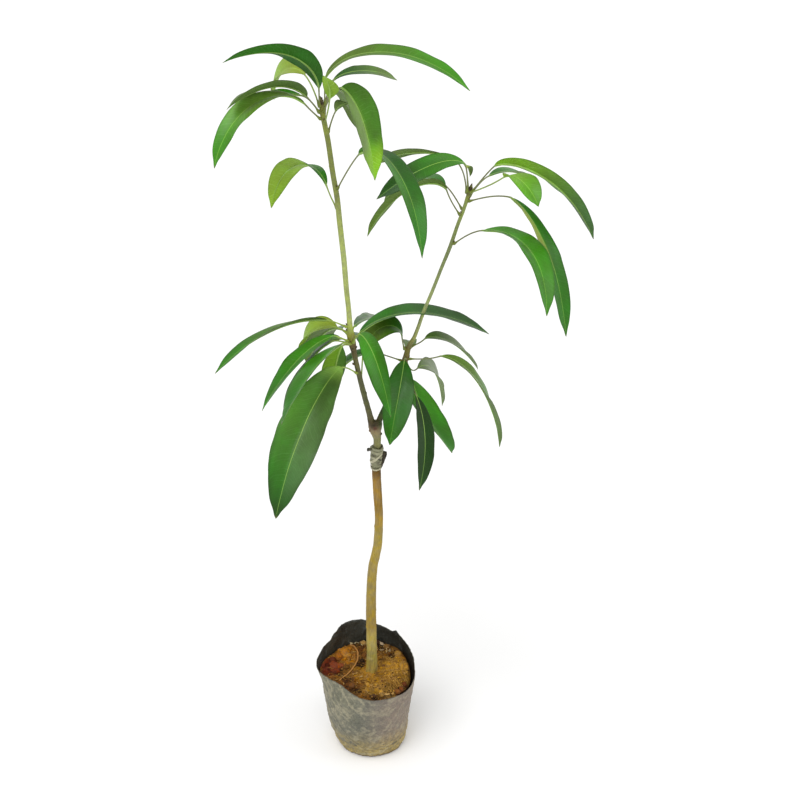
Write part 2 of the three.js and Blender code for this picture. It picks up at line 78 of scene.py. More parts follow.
# Leaves: height on the stem, bearing, turn, climb at the stalk's foot, at the
# blade's foot and at its tip, bend, stalk, length, width, roll, twist
LEAVES = {
    "crown": [
        (936.9, 233, -42, 90, 90, -21, 0.61, 21, 140, 37, 30, 2),
        (936.9, 138, -13, 65, 36, -84, 0.74, 39, 84, 35, -15, -52),
        (931.1, 221, -6, 51, 49, -31, 0.73, 27, 105, 32, 12, 15),
        (923.3, 217, 0, 43, 51, -75, 0.72, 29, 157, 33, 3, -28),
        (938.4, 10, -33, 90, 83, -38, 0.41, 31, 184, 30, 9, 6),
        (932.5, 55, 8, 73, 37, -27, 0.3, 34, 149, 16, 22, 37),
        (932.5, 298, -19, 51, 15, -53, 0.5, 61, 141, 45, -102, -16),
        (842.7, 307, -17, 53, 44, -76, 0.67, 68, 187, 36, -14, -15),
        (816.5, 120, 19, 32, 55, -77, 0.62, 32, 167, 33, 13, 35),
        (919.7, 285, -41, 44, 62, 38, 0.86, 46, 43, 21, -17, -4),
        (906.3, 67, -5, 50, 30, -72, 0.6, 28, 121, 34, 0, 0),
        (926.5, 75, 7, 49, 7, -52, 0.47, 36, 175, 38, 11, -14),
        (929.6, 166, 10, 57, 13, -77, 0.84, 28, 155, 33, 2, -8),
    ],
    "shoot": [
        (817.7, 328, 34, 54, 47, -68, 0.47, 47, 165, 39, -50, 17),
        (816.8, 299, 9, 27, 35, -56, 0.83, 82, 74, 31, -18, 38),
        (805.7, 331, -25, 23, -2, -78, 0.3, 57, 187, 31, -5, 13),
        (751.8, 325, -53, 41, 17, -70, 1.06, 49, 166, 41, 4, -41),
        (816.8, 218, -22, 90, 69, -37, 0.33, 36, 130, 27, -36, -11),
        (814.4, 147, -29, 84, 21, -32, 0.41, 48, 141, 16, 31, 23),
        (788.9, 215, -21, 55, 70, -66, 0.5, 41, 133, 25, 30, 34),
        (815.2, 94, -45, 41, 21, -90, 0.94, 36, 39, 15, 19, 13),
        (810, 47, 6, 36, 6, -45, 0.83, 40, 123, 25, 4, -5),
        (794.2, 124, 3, 38, 15, -58, 0.68, 40, 160, 36, -6, 9),
    ],
    "tier": [
        (668.1, 205, 16, 33, 23, -33, 0.64, 27, 162, 29, 36, -32),
        (660, 182, -15, 32, 27, -92, 0.8, 12, 66, 46, -3, 1),
        (649.4, 224, -4, 35, 31, -52, 0.4, 25, 137, 31, -4, 25),
        (646.2, 247, -3, 30, 11, -34, 0.9, 28, 160, 46, 25, 22),
        (644.5, 197, 49, 5, -41, -90, 0.3, 8, 75, 35, 106, -19),
        (604.3, 239, -4, 40, 24, -69, 0.36, 38, 212, 58, -21, 7),
        (647.9, 292, -2, 51, 30, -60, 0.55, 30, 132, 29, 35, 29),
        (652.3, 37, -11, -6, 58, -37, 0.33, 7, 215, 42, -15, 38),
        (655.2, 75, 3, 52, 5, -34, 0.32, 11, 209, 27, -8, 47),
        (642.5, 132, 2, 12, -17, -51, 0.6, 18, 175, 38, -13, 3),
        (644.5, 171, -7, 14, -14, -86, 0.4, 20, 155, 40, 4, 5),
        (587.9, 86, 4, 58, 13, -52, 0.63, 45, 175, 43, -6, -7),
        (644.5, 111, 8, 13, -14, -60, 0.77, 35, 174, 44, 6, 0),
    ],
    "low": [
        (615, 197, 7, 75, 90, -87, 0.85, 19, 66, 36, -16, -22),
        (617.6, 34, -10, 4, 34, -60, 0.31, 21, 110, 32, 19, -20),
        (602.8, 354, 9, 1, 24, -85, 0.33, 41, 164, 36, 6, -28),
        (599.5, 61, 8, -63, 7, -82, 0.57, 42, 135, 33, 44, 11),
        (604.3, 264, -16, 37, -13, -65, 0.69, 15, 116, 38, -12, -16),
        (599.5, 295, 0, -24, -70, -7, 0.37, 24, 126, 54, -13, -35),
        (596, 286, -30, -18, -15, -27, 1.05, 53, 151, 25, -21, -12),
        (599.5, 152, 10, 6, 2, -87, 0.51, 38, 175, 43, -11, 5),
        (605.8, 85, 9, 10, -5, -47, 0.48, 31, 96, 19, -4, 9),
    ],
}
YOUNG = {"crown_02", "crown_09", "crown_10", "shoot_02", "tier_02", "tier_05"}
# A small set of plain greens, dealt out by leaf; the grey greens sage, silver and slate partly stand for a painted
# sheen, and pale is a painted lift of a shadowed foot
GREENS = {
    "night": (22, 56, 8), "shade": (30, 74, 8), "deep": (34, 90, 8), "leaf": (42, 108, 10),
    "fresh": (56, 124, 12), "bright": (78, 144, 14), "lime": (112, 164, 16), "spring": (124, 162, 30),
    "gold": (122, 144, 32), "moss": (80, 110, 26), "sage": (84, 114, 50), "silver": (100, 124, 66),
    "pale": (146, 190, 78), "slate": (66, 104, 52), "straw": (150, 166, 64),
}
# Leaf: upper face at the foot, upper face at the tip, underside (or the same as above)
DEALT = {
    "crown_01": "fresh moss leaf", "crown_02": "gold spring spring", "crown_03": "moss sage sage",
    # crown_04's foot takes pale, a painted highlight against the shadow crown_03 casts there
    "crown_04": "pale fresh moss", "crown_05": "moss fresh moss", "crown_06": "deep moss moss",
    "crown_07": "leaf lime lime", "crown_08": "deep leaf moss", "crown_09": "leaf lime spring",
    "crown_10": "lime spring spring", "crown_11": "silver sage silver", "crown_12": "leaf moss moss",
    "crown_13": "leaf fresh moss",
    "shoot_01": "lime slate same", "shoot_02": "lime bright spring", "shoot_03": "deep leaf moss",
    "shoot_04": "fresh fresh leaf", "shoot_05": "fresh shade moss", "shoot_06": "moss leaf moss",
    "shoot_07": "sage leaf moss", "shoot_08": "gold moss moss", "shoot_09": "leaf fresh moss",
    "shoot_10": "leaf deep moss",
    "tier_01": "moss leaf sage", "tier_02": "gold spring spring", "tier_03": "fresh leaf moss",
    # tier_06's foot takes pale, a painted lift where the hub's leaves shade it
    "tier_04": "fresh leaf moss", "tier_05": "lime bright gold", "tier_06": "pale shade moss",
    "tier_07": "fresh leaf moss", "tier_08": "leaf shade deep", "tier_09": "deep moss shade",
    "tier_10": "leaf deep shade", "tier_11": "deep leaf shade", "tier_12": "leaf leaf moss",
    "tier_13": "deep leaf moss",
    "low_01": "deep moss moss", "low_02": "sage silver silver", "low_03": "moss fresh sage",
    "low_04": "silver sage silver", "low_05": "deep leaf moss", "low_06": "fresh leaf moss",
    # low_07 hangs under low_06: its near-black greens are partly painted shade
    "low_07": "night night shade", "low_08": "leaf deep moss", "low_09": "leaf moss moss",
}
# Leaves whose two halves are painted in different greens, standing for the sheen and shade that fall unevenly on the
# folded blade: half towards the bearing's left, other half, from and to which share of the length
SHEEN_HALVES = {"crown_07": ("silver", "deep", -1.0, 0.76), "tier_05": ("lime", "leaf", -1.0, 0.85), "tier_06": ("slate", "leaf", 0.10, 0.84),
          "crown_08": ("deep", "fresh", -1.0, 0.65), "shoot_03": ("leaf", "straw", -1.0, 0.5)}
# Blades a little fuller, narrower, longer or shorter than their plain stand-ins
WIDER = {"crown_02": 1.3, "crown_03": 1.3, "crown_04": 0.92}
LONGER = {"crown_03": 1.07, "crown_13": 0.88}

# ------------------------------------------------------------------- numbers
def rad(d):
    return np.radians(d)


def lin(c):
    """sRGB 0-255 to linear."""
    c = np.asarray(c, float) / 255
    return np.where(c <= 0.04045, c / 12.92, ((c + 0.055) / 1.055) ** 2.4)


def lin4(c):
    return (*[float(x) for x in lin(c)], 1.0)


def smooth(a, b, x):
    t = np.clip((x - a) / (b - a), 0, 1)
    return t * t * (3 - 2 * t)


def mix(a, b, t):
    return a + (b - a) * t


def _hash(ix, iy, iz, seed):
    with np.errstate(over="ignore"):
        n = (
            ix.astype(np.uint32) * np.uint32(374761393)
            ^ iy.astype(np.uint32) * np.uint32(668265263)
            ^ iz.astype(np.uint32) * np.uint32(2246822519)
        )
        n = n + np.uint32((seed * 2654435761) & 0xFFFFFFFF)
        n = (n ^ (n >> np.uint32(15))) * np.uint32(2246822519)
        n = (n ^ (n >> np.uint32(13))) * np.uint32(3266489917)
        n = n ^ (n >> np.uint32(16))
    return n.astype(np.float64) / 2147483647.5 - 1.0


def noise(p, seed=0):
    """Smooth noise from -1 to 1 at points (n, 3)."""
    p = np.asarray(p, float).reshape(-1, 3)
    base = np.floor(p).astype(np.int64)
    f = p - base
    w = f * f * f * (f * (f * 6 - 15) + 10)
    out = np.zeros(len(p))
    for dx in (0, 1):
        wx = w[:, 0] if dx else 1 - w[:, 0]
        for dy in (0, 1):
            wy = w[:, 1] if dy else 1 - w[:, 1]
            for dz in (0, 1):
                wz = w[:, 2] if dz else 1 - w[:, 2]
                out += wx * wy * wz * _hash(base[:, 0] + dx, base[:, 1] + dy, base[:, 2] + dz, seed)
    return out


def fbm(p, size, octaves=4, seed=0, gain=0.5):
    """Noise whose largest lumps are `size` mm apart."""
    p = np.asarray(p, float).reshape(-1, 3)
    total, amp, norm = 0.0, 1.0, 0.0
    for o in range(octaves):
        total = total + amp * noise(p / size * 2**o + 31.7 * o, seed + o)
        norm += amp
        amp *= gain
    return total / norm


def ridge(p, size, octaves=3, seed=0):
    p = np.asarray(p, float).reshape(-1, 3)
    total, amp, norm = 0.0, 1.0, 0.0
    for o in range(octaves):
        total = total + amp * (1 - 2 * np.abs(noise(p / size * 2**o + 13.1 * o, seed + o)))
        norm += amp
        amp *= 0.5
    return total / norm


def run(stations, steps):
    """Smooth run through a list of stations (Catmull-Rom)."""
    st = [np.array(s, float) for s in stations]

    def at(i):
        if i < 0:
            return 2 * st[0] - st[1]
        if i >= len(st):
            return 2 * st[-1] - st[-2]
        return st[i]

    out = []
    for i in range(len(st) - 1):
        p, a, b, q = at(i - 1), at(i), at(i + 1), at(i + 2)
        for s in range(steps):
            t = s / steps
            out.append(
                0.5 * (2 * a + (b - p) * t + (2 * p - 5 * a + 4 * b - q) * t * t
                       + (3 * a - p - 3 * b + q) * t**3)
            )
    out.append(st[-1])
    return np.array(out)


def at_height(line, z):
    """Row of a run at the heights z."""
    return np.stack([np.interp(z, line[:, 2], line[:, k]) for k in range(line.shape[1])], -1)


def unit(v):
    return v / np.maximum(np.linalg.norm(v, axis=-1, keepdims=True), 1e-12)


# -------------------------------------------------------------------- meshes
def build(name, verts, quads=None, tris=None, material=None, uv=None, attrs=None, smooth_shade=True):
    """Mesh object from arrays in mm. uv is per loop, quads first, then tris. attrs: name -> (kind, array)."""
    quads = np.zeros((0, 4), np.int64) if quads is None or len(quads) == 0 else np.asarray(quads)
    tris = np.zeros((0, 3), np.int64) if tris is None or len(tris) == 0 else np.asarray(tris)
    me = bpy.data.meshes.new(name)
    nv, nq, nt = len(verts), len(quads), len(tris)
    me.vertices.add(nv)
    me.vertices.foreach_set("co", (np.asarray(verts, np.float64) * MM).astype(np.float32).ravel())
    loops = np.concatenate([quads.ravel(), tris.ravel()]).astype(np.int32)
    me.loops.add(len(loops))
    me.loops.foreach_set("vertex_index", loops)
    me.polygons.add(nq + nt)
    starts = np.concatenate([np.arange(nq) * 4, nq * 4 + np.arange(nt) * 3]).astype(np.int32)
    me.polygons.foreach_set("loop_start", starts)
    me.update(calc_edges=True)
    if uv is not None:
        layer = me.uv_layers.new(name="OFBake")
        layer.data.foreach_set("uv", np.asarray(uv, np.float32).ravel())
    for key, (kind, values) in (attrs or {}).items():
        a = me.attributes.new(key, kind, "POINT")
        field = {"FLOAT": "value", "FLOAT_VECTOR": "vector", "FLOAT_COLOR": "color"}[kind]
        a.data.foreach_set(field, np.asarray(values, np.float32).ravel())
    if smooth_shade:
        me.polygons.foreach_set("use_smooth", np.ones(nq + nt, bool))
    me.validate()
    ob = bpy.data.objects.new(name, me)
    bpy.context.scene.collection.objects.link(ob)
    if material is not None:
        me.materials.append(material)
    return ob


class Parts:
    """Gathers grids and fans into one mesh."""

    def __init__(self):
        self.v, self.q, self.t, self.uq, self.ut, self.n = [], [], [], [], [], 0
        self.a = {}

    def add_verts(self, v, attrs):
        first = self.n
        self.v.append(v)
        self.n += len(v)
        for k, x in attrs.items():
            self.a.setdefault(k, []).append(x)
        return first

    def grid(self, pos, attrs, wrap=True, rect=(0, 0, 1, 1), split=None):
        """pos (rows, cols, 3). rect is the grid's place in the bake map. split gives each column's own (start, end) across."""
        rows, cols = pos.shape[:2]
        first = self.add_verts(pos.reshape(-1, 3), {k: x.reshape(rows * cols, -1) for k, x in attrs.items()})
        nj = cols if wrap else cols - 1
        i, j = np.meshgrid(np.arange(rows - 1), np.arange(nj), indexing="ij")
        i, j = i.ravel(), j.ravel()
        a = first + i * cols + j
        b = first + i * cols + (j + 1) % cols
        self.q.append(np.stack([a, b, b + cols, a + cols], -1))
        u0, v0, u1, v1 = rect
        ua, ub = u0 + (u1 - u0) * i / (rows - 1), u0 + (u1 - u0) * (i + 1) / (rows - 1)
        if split is None:
            va, vb = v0 + (v1 - v0) * j / nj, v0 + (v1 - v0) * (j + 1) / nj
        else:
            va, vb = split[j, 0], split[j, 1]
        self.uq.append(np.stack([ua, va, ua, vb, ub, vb, ub, va], -1).reshape(-1, 2))
        return first

    def fan(self, ring, centre, attrs, flip=False, place=(0.5, 0.5)):
        """Closes a ring of vertex numbers with a point."""
        mid = self.add_verts(np.asarray(centre, float).reshape(1, 3), {k: np.asarray(x, float).reshape(1, -1) for k, x in attrs.items()})
        ring = np.asarray(ring)
        nxt = np.roll(ring, -1)
        m = np.full(len(ring), mid)
        t = np.stack([m, nxt, ring], -1) if flip else np.stack([m, ring, nxt], -1)
        self.t.append(t)
        self.ut.append(np.tile(np.asarray(place, float), (len(ring) * 3, 1)))

    def lump(self, v, f, attrs, place=None):
        first = self.add_verts(v, attrs)
        self.t.append(f + first)
        uv = np.tile((0.5, 0.5), (len(f) * 3, 1)) if place is None else place
        self.ut.append(uv)
        return first

    def make(self, name, material, kinds, with_uv=True):
        quads = np.concatenate(self.q) if self.q else None
        tris = np.concatenate(self.t) if self.t else None
        uv = np.concatenate(self.uq + self.ut) if with_uv else None
        attrs = {k: (kinds[k], np.concatenate(x)) for k, x in self.a.items()}
        return build(name, np.concatenate(self.v), quads, tris, material, uv, attrs)


def icosphere(levels):
    t = (1 + 5**0.5) / 2
    v = [(-1, t, 0), (1, t, 0), (-1, -t, 0), (1, -t, 0), (0, -1, t), (0, 1, t), (0, -1, -t), (0, 1, -t),
         (t, 0, -1), (t, 0, 1), (-t, 0, -1), (-t, 0, 1)]
    f = [(0, 11, 5), (0, 5, 1), (0, 1, 7), (0, 7, 10), (0, 10, 11), (1, 5, 9), (5, 11, 4), (11, 10, 2),
         (10, 7, 6), (7, 1, 8), (3, 9, 4), (3, 4, 2), (3, 2, 6), (3, 6, 8), (3, 8, 9), (4, 9, 5),
         (2, 4, 11), (6, 2, 10), (8, 6, 7), (9, 8, 1)]
    v = [tuple(unit(np.array(p, float))) for p in v]
    for _ in range(levels):
        cache, out = {}, []

        def mid(a, b):
            key = (min(a, b), max(a, b))
            if key not in cache:
                cache[key] = len(v)
                v.append(tuple(unit((np.array(v[a]) + np.array(v[b])) / 2)))
            return cache[key]

        for a, b, c in f:
            ab, bc, ca = mid(a, b), mid(b, c), mid(c, a)
            out += [(a, ab, ca), (b, bc, ab), (c, ca, bc), (ab, bc, ca)]
        f = out
    return np.array(v), np.array(f)


ICO1, ICO2, ICO3 = icosphere(1), icosphere(2), icosphere(3)


def frames_along(P):
    """Tangents and turning-free side vectors along a line."""
    T = unit(np.gradient(P, axis=0))
    U = np.zeros_like(P)
    u = np.array([1.0, 0, 0]) if abs(T[0][0]) < 0.9 else np.array([0, 1.0, 0])
    for i in range(len(P)):
        u = u - T[i] * (u @ T[i])
        u = u / np.linalg.norm(u)
        U[i] = u
    return T, U, np.cross(T, U)


def resample(line, step):
    """A line of rows evenly spaced by about step mm."""
    d = np.r_[0, np.cumsum(np.linalg.norm(np.diff(line[:, :3], axis=0), axis=1))]
    n = max(3, int(round(d[-1] / step)) + 1)
    s = np.linspace(0, d[-1], n)
    return np.stack([np.interp(s, d, line[:, k]) for k in range(line.shape[1])], -1), s


# ------------------------------------------------------------------ materials
class Mat:
    """Small helper to write a node material."""

    def __init__(self, name, rough=0.5, spec=0.5):
        self.m = bpy.data.materials.new(name)
        self.m.use_nodes = True
        self.t = self.m.node_tree
        self.t.nodes.clear()
        self.out = self.t.nodes.new("ShaderNodeOutputMaterial")
        self.b = self.t.nodes.new("ShaderNodeBsdfPrincipled")
        self.t.links.new(self.b.outputs[0], self.out.inputs[0])
        self.b.inputs["Roughness"].default_value = rough
        self.b.inputs["Specular IOR Level"].default_value = spec

    def node(self, kind, **props):
        n = self.t.nodes.new("ShaderNode" + kind)
        for k, v in props.items():
            setattr(n, k, v)
        return n

    def put(self, socket, value):
        if isinstance(value, bpy.types.NodeSocket):
            self.t.links.new(value, socket)
        elif isinstance(value, (tuple, list)) and len(value) == 3 and len(socket.default_value) == 4:
            socket.default_value = (*value, 1.0)
        else:
            socket.default_value = value

    def math(self, op, a, b=None, c=None, clamp=False):
        n = self.node("Math", operation=op, use_clamp=clamp)
        self.put(n.inputs[0], a)
        if b is not None:
            self.put(n.inputs[1], b)
        if c is not None:
            self.put(n.inputs[2], c)
        return n.outputs[0]

    def attr(self, name, out="Vector"):
        return self.node("Attribute", attribute_name=name).outputs[out]

    def sep(self, v):
        n = self.node("SeparateXYZ")
        self.put(n.inputs[0], v)
        return n.outputs

    def comb(self, x, y, z):
        n = self.node("CombineXYZ")
        for s, v in zip(n.inputs, (x, y, z)):
            self.put(s, v)
        return n.outputs[0]

    def place(self, scale=(1, 1, 1)):
        """Object coordinates in mm, stretched."""
        n = self.node("Mapping")
        self.put(n.inputs[0], self.node("TexCoord").outputs["Object"])
        n.inputs["Scale"].default_value = [1000 * s for s in scale]
        return n.outputs[0]

    def noise(self, vec, size, detail=3.0, rough=0.5, twist=0.0, out="Fac"):
        n = self.node("TexNoise")
        self.put(n.inputs["Vector"], vec)
        n.inputs["Scale"].default_value = 1.0 / size
        n.inputs["Detail"].default_value = detail
        n.inputs["Roughness"].default_value = rough
        n.inputs["Distortion"].default_value = twist
        return n.outputs[out]

    def cells(self, vec, size, feature="F1", out="Distance", rand=1.0):
        n = self.node("TexVoronoi", feature=feature)
        self.put(n.inputs["Vector"], vec)
        n.inputs["Scale"].default_value = 1.0 / size
        n.inputs["Randomness"].default_value = rand
        return n.outputs[out]

    def range(self, v, a, b, c=0.0, d=1.0, kind="SMOOTHSTEP"):
        n = self.node("MapRange", interpolation_type=kind)
        for s, x in zip(n.inputs, (v, a, b, c, d)):
            self.put(s, x)
        return n.outputs[0]

    def mixc(self, f, a, b, blend="MIX"):
        n = self.node("Mix", data_type="RGBA", blend_type=blend)
        self.put(n.inputs[0], f)
        self.put(n.inputs[6], a)
        self.put(n.inputs[7], b)
        return n.outputs[2]

    def hsv(self, colour, value=1.0, sat=1.0, hue=0.5):
        n = self.node("HueSaturation")
        self.put(n.inputs["Color"], colour)
        self.put(n.inputs["Value"], value)
        self.put(n.inputs["Saturation"], sat)
        self.put(n.inputs["Hue"], hue)
        return n.outputs[0]

    def ramp(self, f, stops):
        n = self.node("ValToRGB")
        e = n.color_ramp.elements
        while len(e) > len(stops):
            e.remove(e[-1])
        while len(e) < len(stops):
            e.new(0.5)
        for el, (p, c) in zip(e, stops):
            el.position = p
            el.color = c
        self.put(n.inputs[0], f)
        return n.outputs[0]

    def bump(self, height, strength, distance_mm, normal=None):
        n = self.node("Bump")
        n.inputs["Strength"].default_value = strength
        n.inputs["Distance"].default_value = distance_mm * MM
        self.put(n.inputs["Height"], height)
        if normal is not None:
            self.put(n.inputs["Normal"], normal)
        return n.outputs[0]

    def base(self, c):
        self.put(self.b.inputs["Base Color"], c)

    def rough(self, r):
        self.put(self.b.inputs["Roughness"], r)

    def normal(self, n):
        self.put(self.b.inputs["Normal"], n)


VEIN_STEP = 6.6


def leaf_material(name, rough_low, rough_high):
    """Colour from the blade's own tint, with side veins, mottling and a waxy sheen. `lf` holds mm along, mm across and 0 upper, 1 under, 2 rib or stalk."""
    m = Mat(name, spec=0.28)
    along, across, kind = m.sep(m.attr("lf"))
    blade = m.math("LESS_THAN", kind, 1.5)
    under = m.math("MULTIPLY", m.range(kind, 0.4, 0.6), blade)
    wide = m.math("ABSOLUTE", across)
    place = m.place()
    warp = m.noise(place, 11.0, 2.0)
    drift = m.noise(place, 34.0, 1.0)
    # side veins, leaning forward and arching near the margin
    lean = m.math("MULTIPLY_ADD", m.math("MULTIPLY", wide, wide), 0.012, m.math("MULTIPLY", wide, 0.5))
    phase = m.math("DIVIDE", m.math("SUBTRACT", along, lean), VEIN_STEP)
    phase = m.math("ADD", phase, m.math("MULTIPLY", m.math("GREATER_THAN", across, 0.0), 0.46))
    phase = m.math("MULTIPLY_ADD", m.math("SUBTRACT", warp, 0.5), 0.9, phase)
    phase = m.math("MULTIPLY_ADD", m.math("SUBTRACT", drift, 0.5), 3.0, phase)
    off = m.math("ABSOLUTE", m.math("SUBTRACT", m.math("FRACT", phase), 0.5))
    worn = m.range(m.noise(place, 14.0, 2.0), 0.35, 0.65, 0.35, 1.0)
    vein = m.math("MULTIPLY", m.math("MULTIPLY", m.range(off, 0.015, 0.075, 1.0, 0.0), blade), worn)
    # a fainter vein between two main ones, and the net between them
    off2 = m.math("ABSOLUTE", m.math("SUBTRACT", m.math("FRACT", m.math("ADD", phase, 0.5)), 0.5))
    vein2 = m.math("MULTIPLY", m.range(off2, 0.01, 0.05, 0.35, 0.0), blade)
    net = m.math("MULTIPLY", m.range(m.cells(place, 1.5, "DISTANCE_TO_EDGE"), 0.02, 0.12, 1.0, 0.0), blade)
    veins = m.math("MAXIMUM", vein, vein2)
    tint = m.attr("tint", "Color")
    mottle = m.noise(place, 26.0, 3.0, 0.55)
    fine = m.noise(place, 2.2, 3.0, 0.6)
    value = m.math("ADD", m.range(mottle, 0.25, 0.75, 0.84, 1.14), m.range(fine, 0.2, 0.8, -0.05, 0.05))
    colour = m.hsv(tint, value=value, hue=m.range(mottle, 0.2, 0.8, 0.492, 0.506))
    pale = m.hsv(tint, value=1.9, sat=0.80)
    colour = m.mixc(m.math("MULTIPLY", veins, m.range(under, 0, 1, 0.30, 0.38)), colour, pale)
    colour = m.mixc(m.math("MULTIPLY", net, 0.07), colour, pale)
    # a few brown pin spots of age
    spot = m.range(m.cells(place, 9.0), 0.03, 0.07, 1.0, 0.0)
    spot = m.math("MULTIPLY", m.math("MULTIPLY", spot, blade), m.range(m.noise(place, 40.0, 1.0), 0.52, 0.62))
    colour = m.mixc(m.math("MULTIPLY", spot, 0.55), colour, lin4((74, 66, 30)))
    m.base(colour)
    streak = m.noise(m.comb(m.math("DIVIDE", along, 34.0), m.math("DIVIDE", across, 4.0), kind), 1.0, 3.0)
    rough = m.range(streak, 0.3, 0.7, rough_low, rough_high, "LINEAR")
    rough = m.math("ADD", rough, m.math("MULTIPLY", under, 0.22))
    m.rough(m.math("ADD", rough, m.math("MULTIPLY", m.math("SUBTRACT", 1.0, blade), 0.08)))
    up = m.math("MULTIPLY", m.math("ADD", veins, m.math("MULTIPLY", net, 0.2)), m.range(under, 0, 1, 0.35, 1.0))
    height = m.math("MULTIPLY_ADD", fine, 0.3, up)
    m.normal(m.bump(height, 0.4, 0.16))
    return m.m


def stem_material(name, scale=1.0, flecks=0.5, rough=0.7):
    """Bark from the stem's own tint, with streaks, flecks and fine cracks."""
    m = Mat(name, rough=rough, spec=0.3)
    place = m.place()
    tall = m.place((1, 1, 0.16))
    tint = m.attr("tint", "Color")
    streak = m.noise(tall, 1.5 * scale, 4.0, 0.6)
    blotch = m.noise(place, 9.0 * scale, 3.0, 0.6)
    fine = m.noise(place, 0.8, 3.0, 0.6)
    value = m.math("MULTIPLY", m.range(streak, 0.25, 0.75, 0.80, 1.16), m.range(blotch, 0.25, 0.75, 0.86, 1.12))
    colour = m.hsv(tint, value=value, sat=m.range(blotch, 0.3, 0.7, 0.9, 1.1))
    spot = m.cells(m.place((1, 1, 0.55)), 2.3 * scale)
    dark = m.math("MULTIPLY", m.range(spot, 0.10, 0.24, 1.0, 0.0), m.range(m.noise(place, 6.0, 1.0), 0.48, 0.60))
    colour = m.mixc(m.math("MULTIPLY", dark, flecks), colour, m.hsv(tint, value=0.32))
    light = m.math("MULTIPLY", m.range(m.cells(m.place((1.3, 1.3, 0.8)), 1.9), 0.08, 0.16, 1.0, 0.0),
                   m.range(m.noise(place, 5.0, 1.0, twist=0.4), 0.55, 0.62))
    colour = m.mixc(m.math("MULTIPLY", light, flecks), colour, m.hsv(tint, value=1.5, sat=0.75))
    m.base(colour)
    m.rough(m.range(fine, 0.2, 0.8, rough - 0.1, rough + 0.1, "LINEAR"))
    height = m.math("ADD", m.math("MULTIPLY", streak, 0.8), m.math("MULTIPLY", fine, 0.35))
    height = m.math("SUBTRACT", height, m.math("MULTIPLY", dark, 0.3))
    m.normal(m.bump(height, 0.6, 0.3))
    return m.m


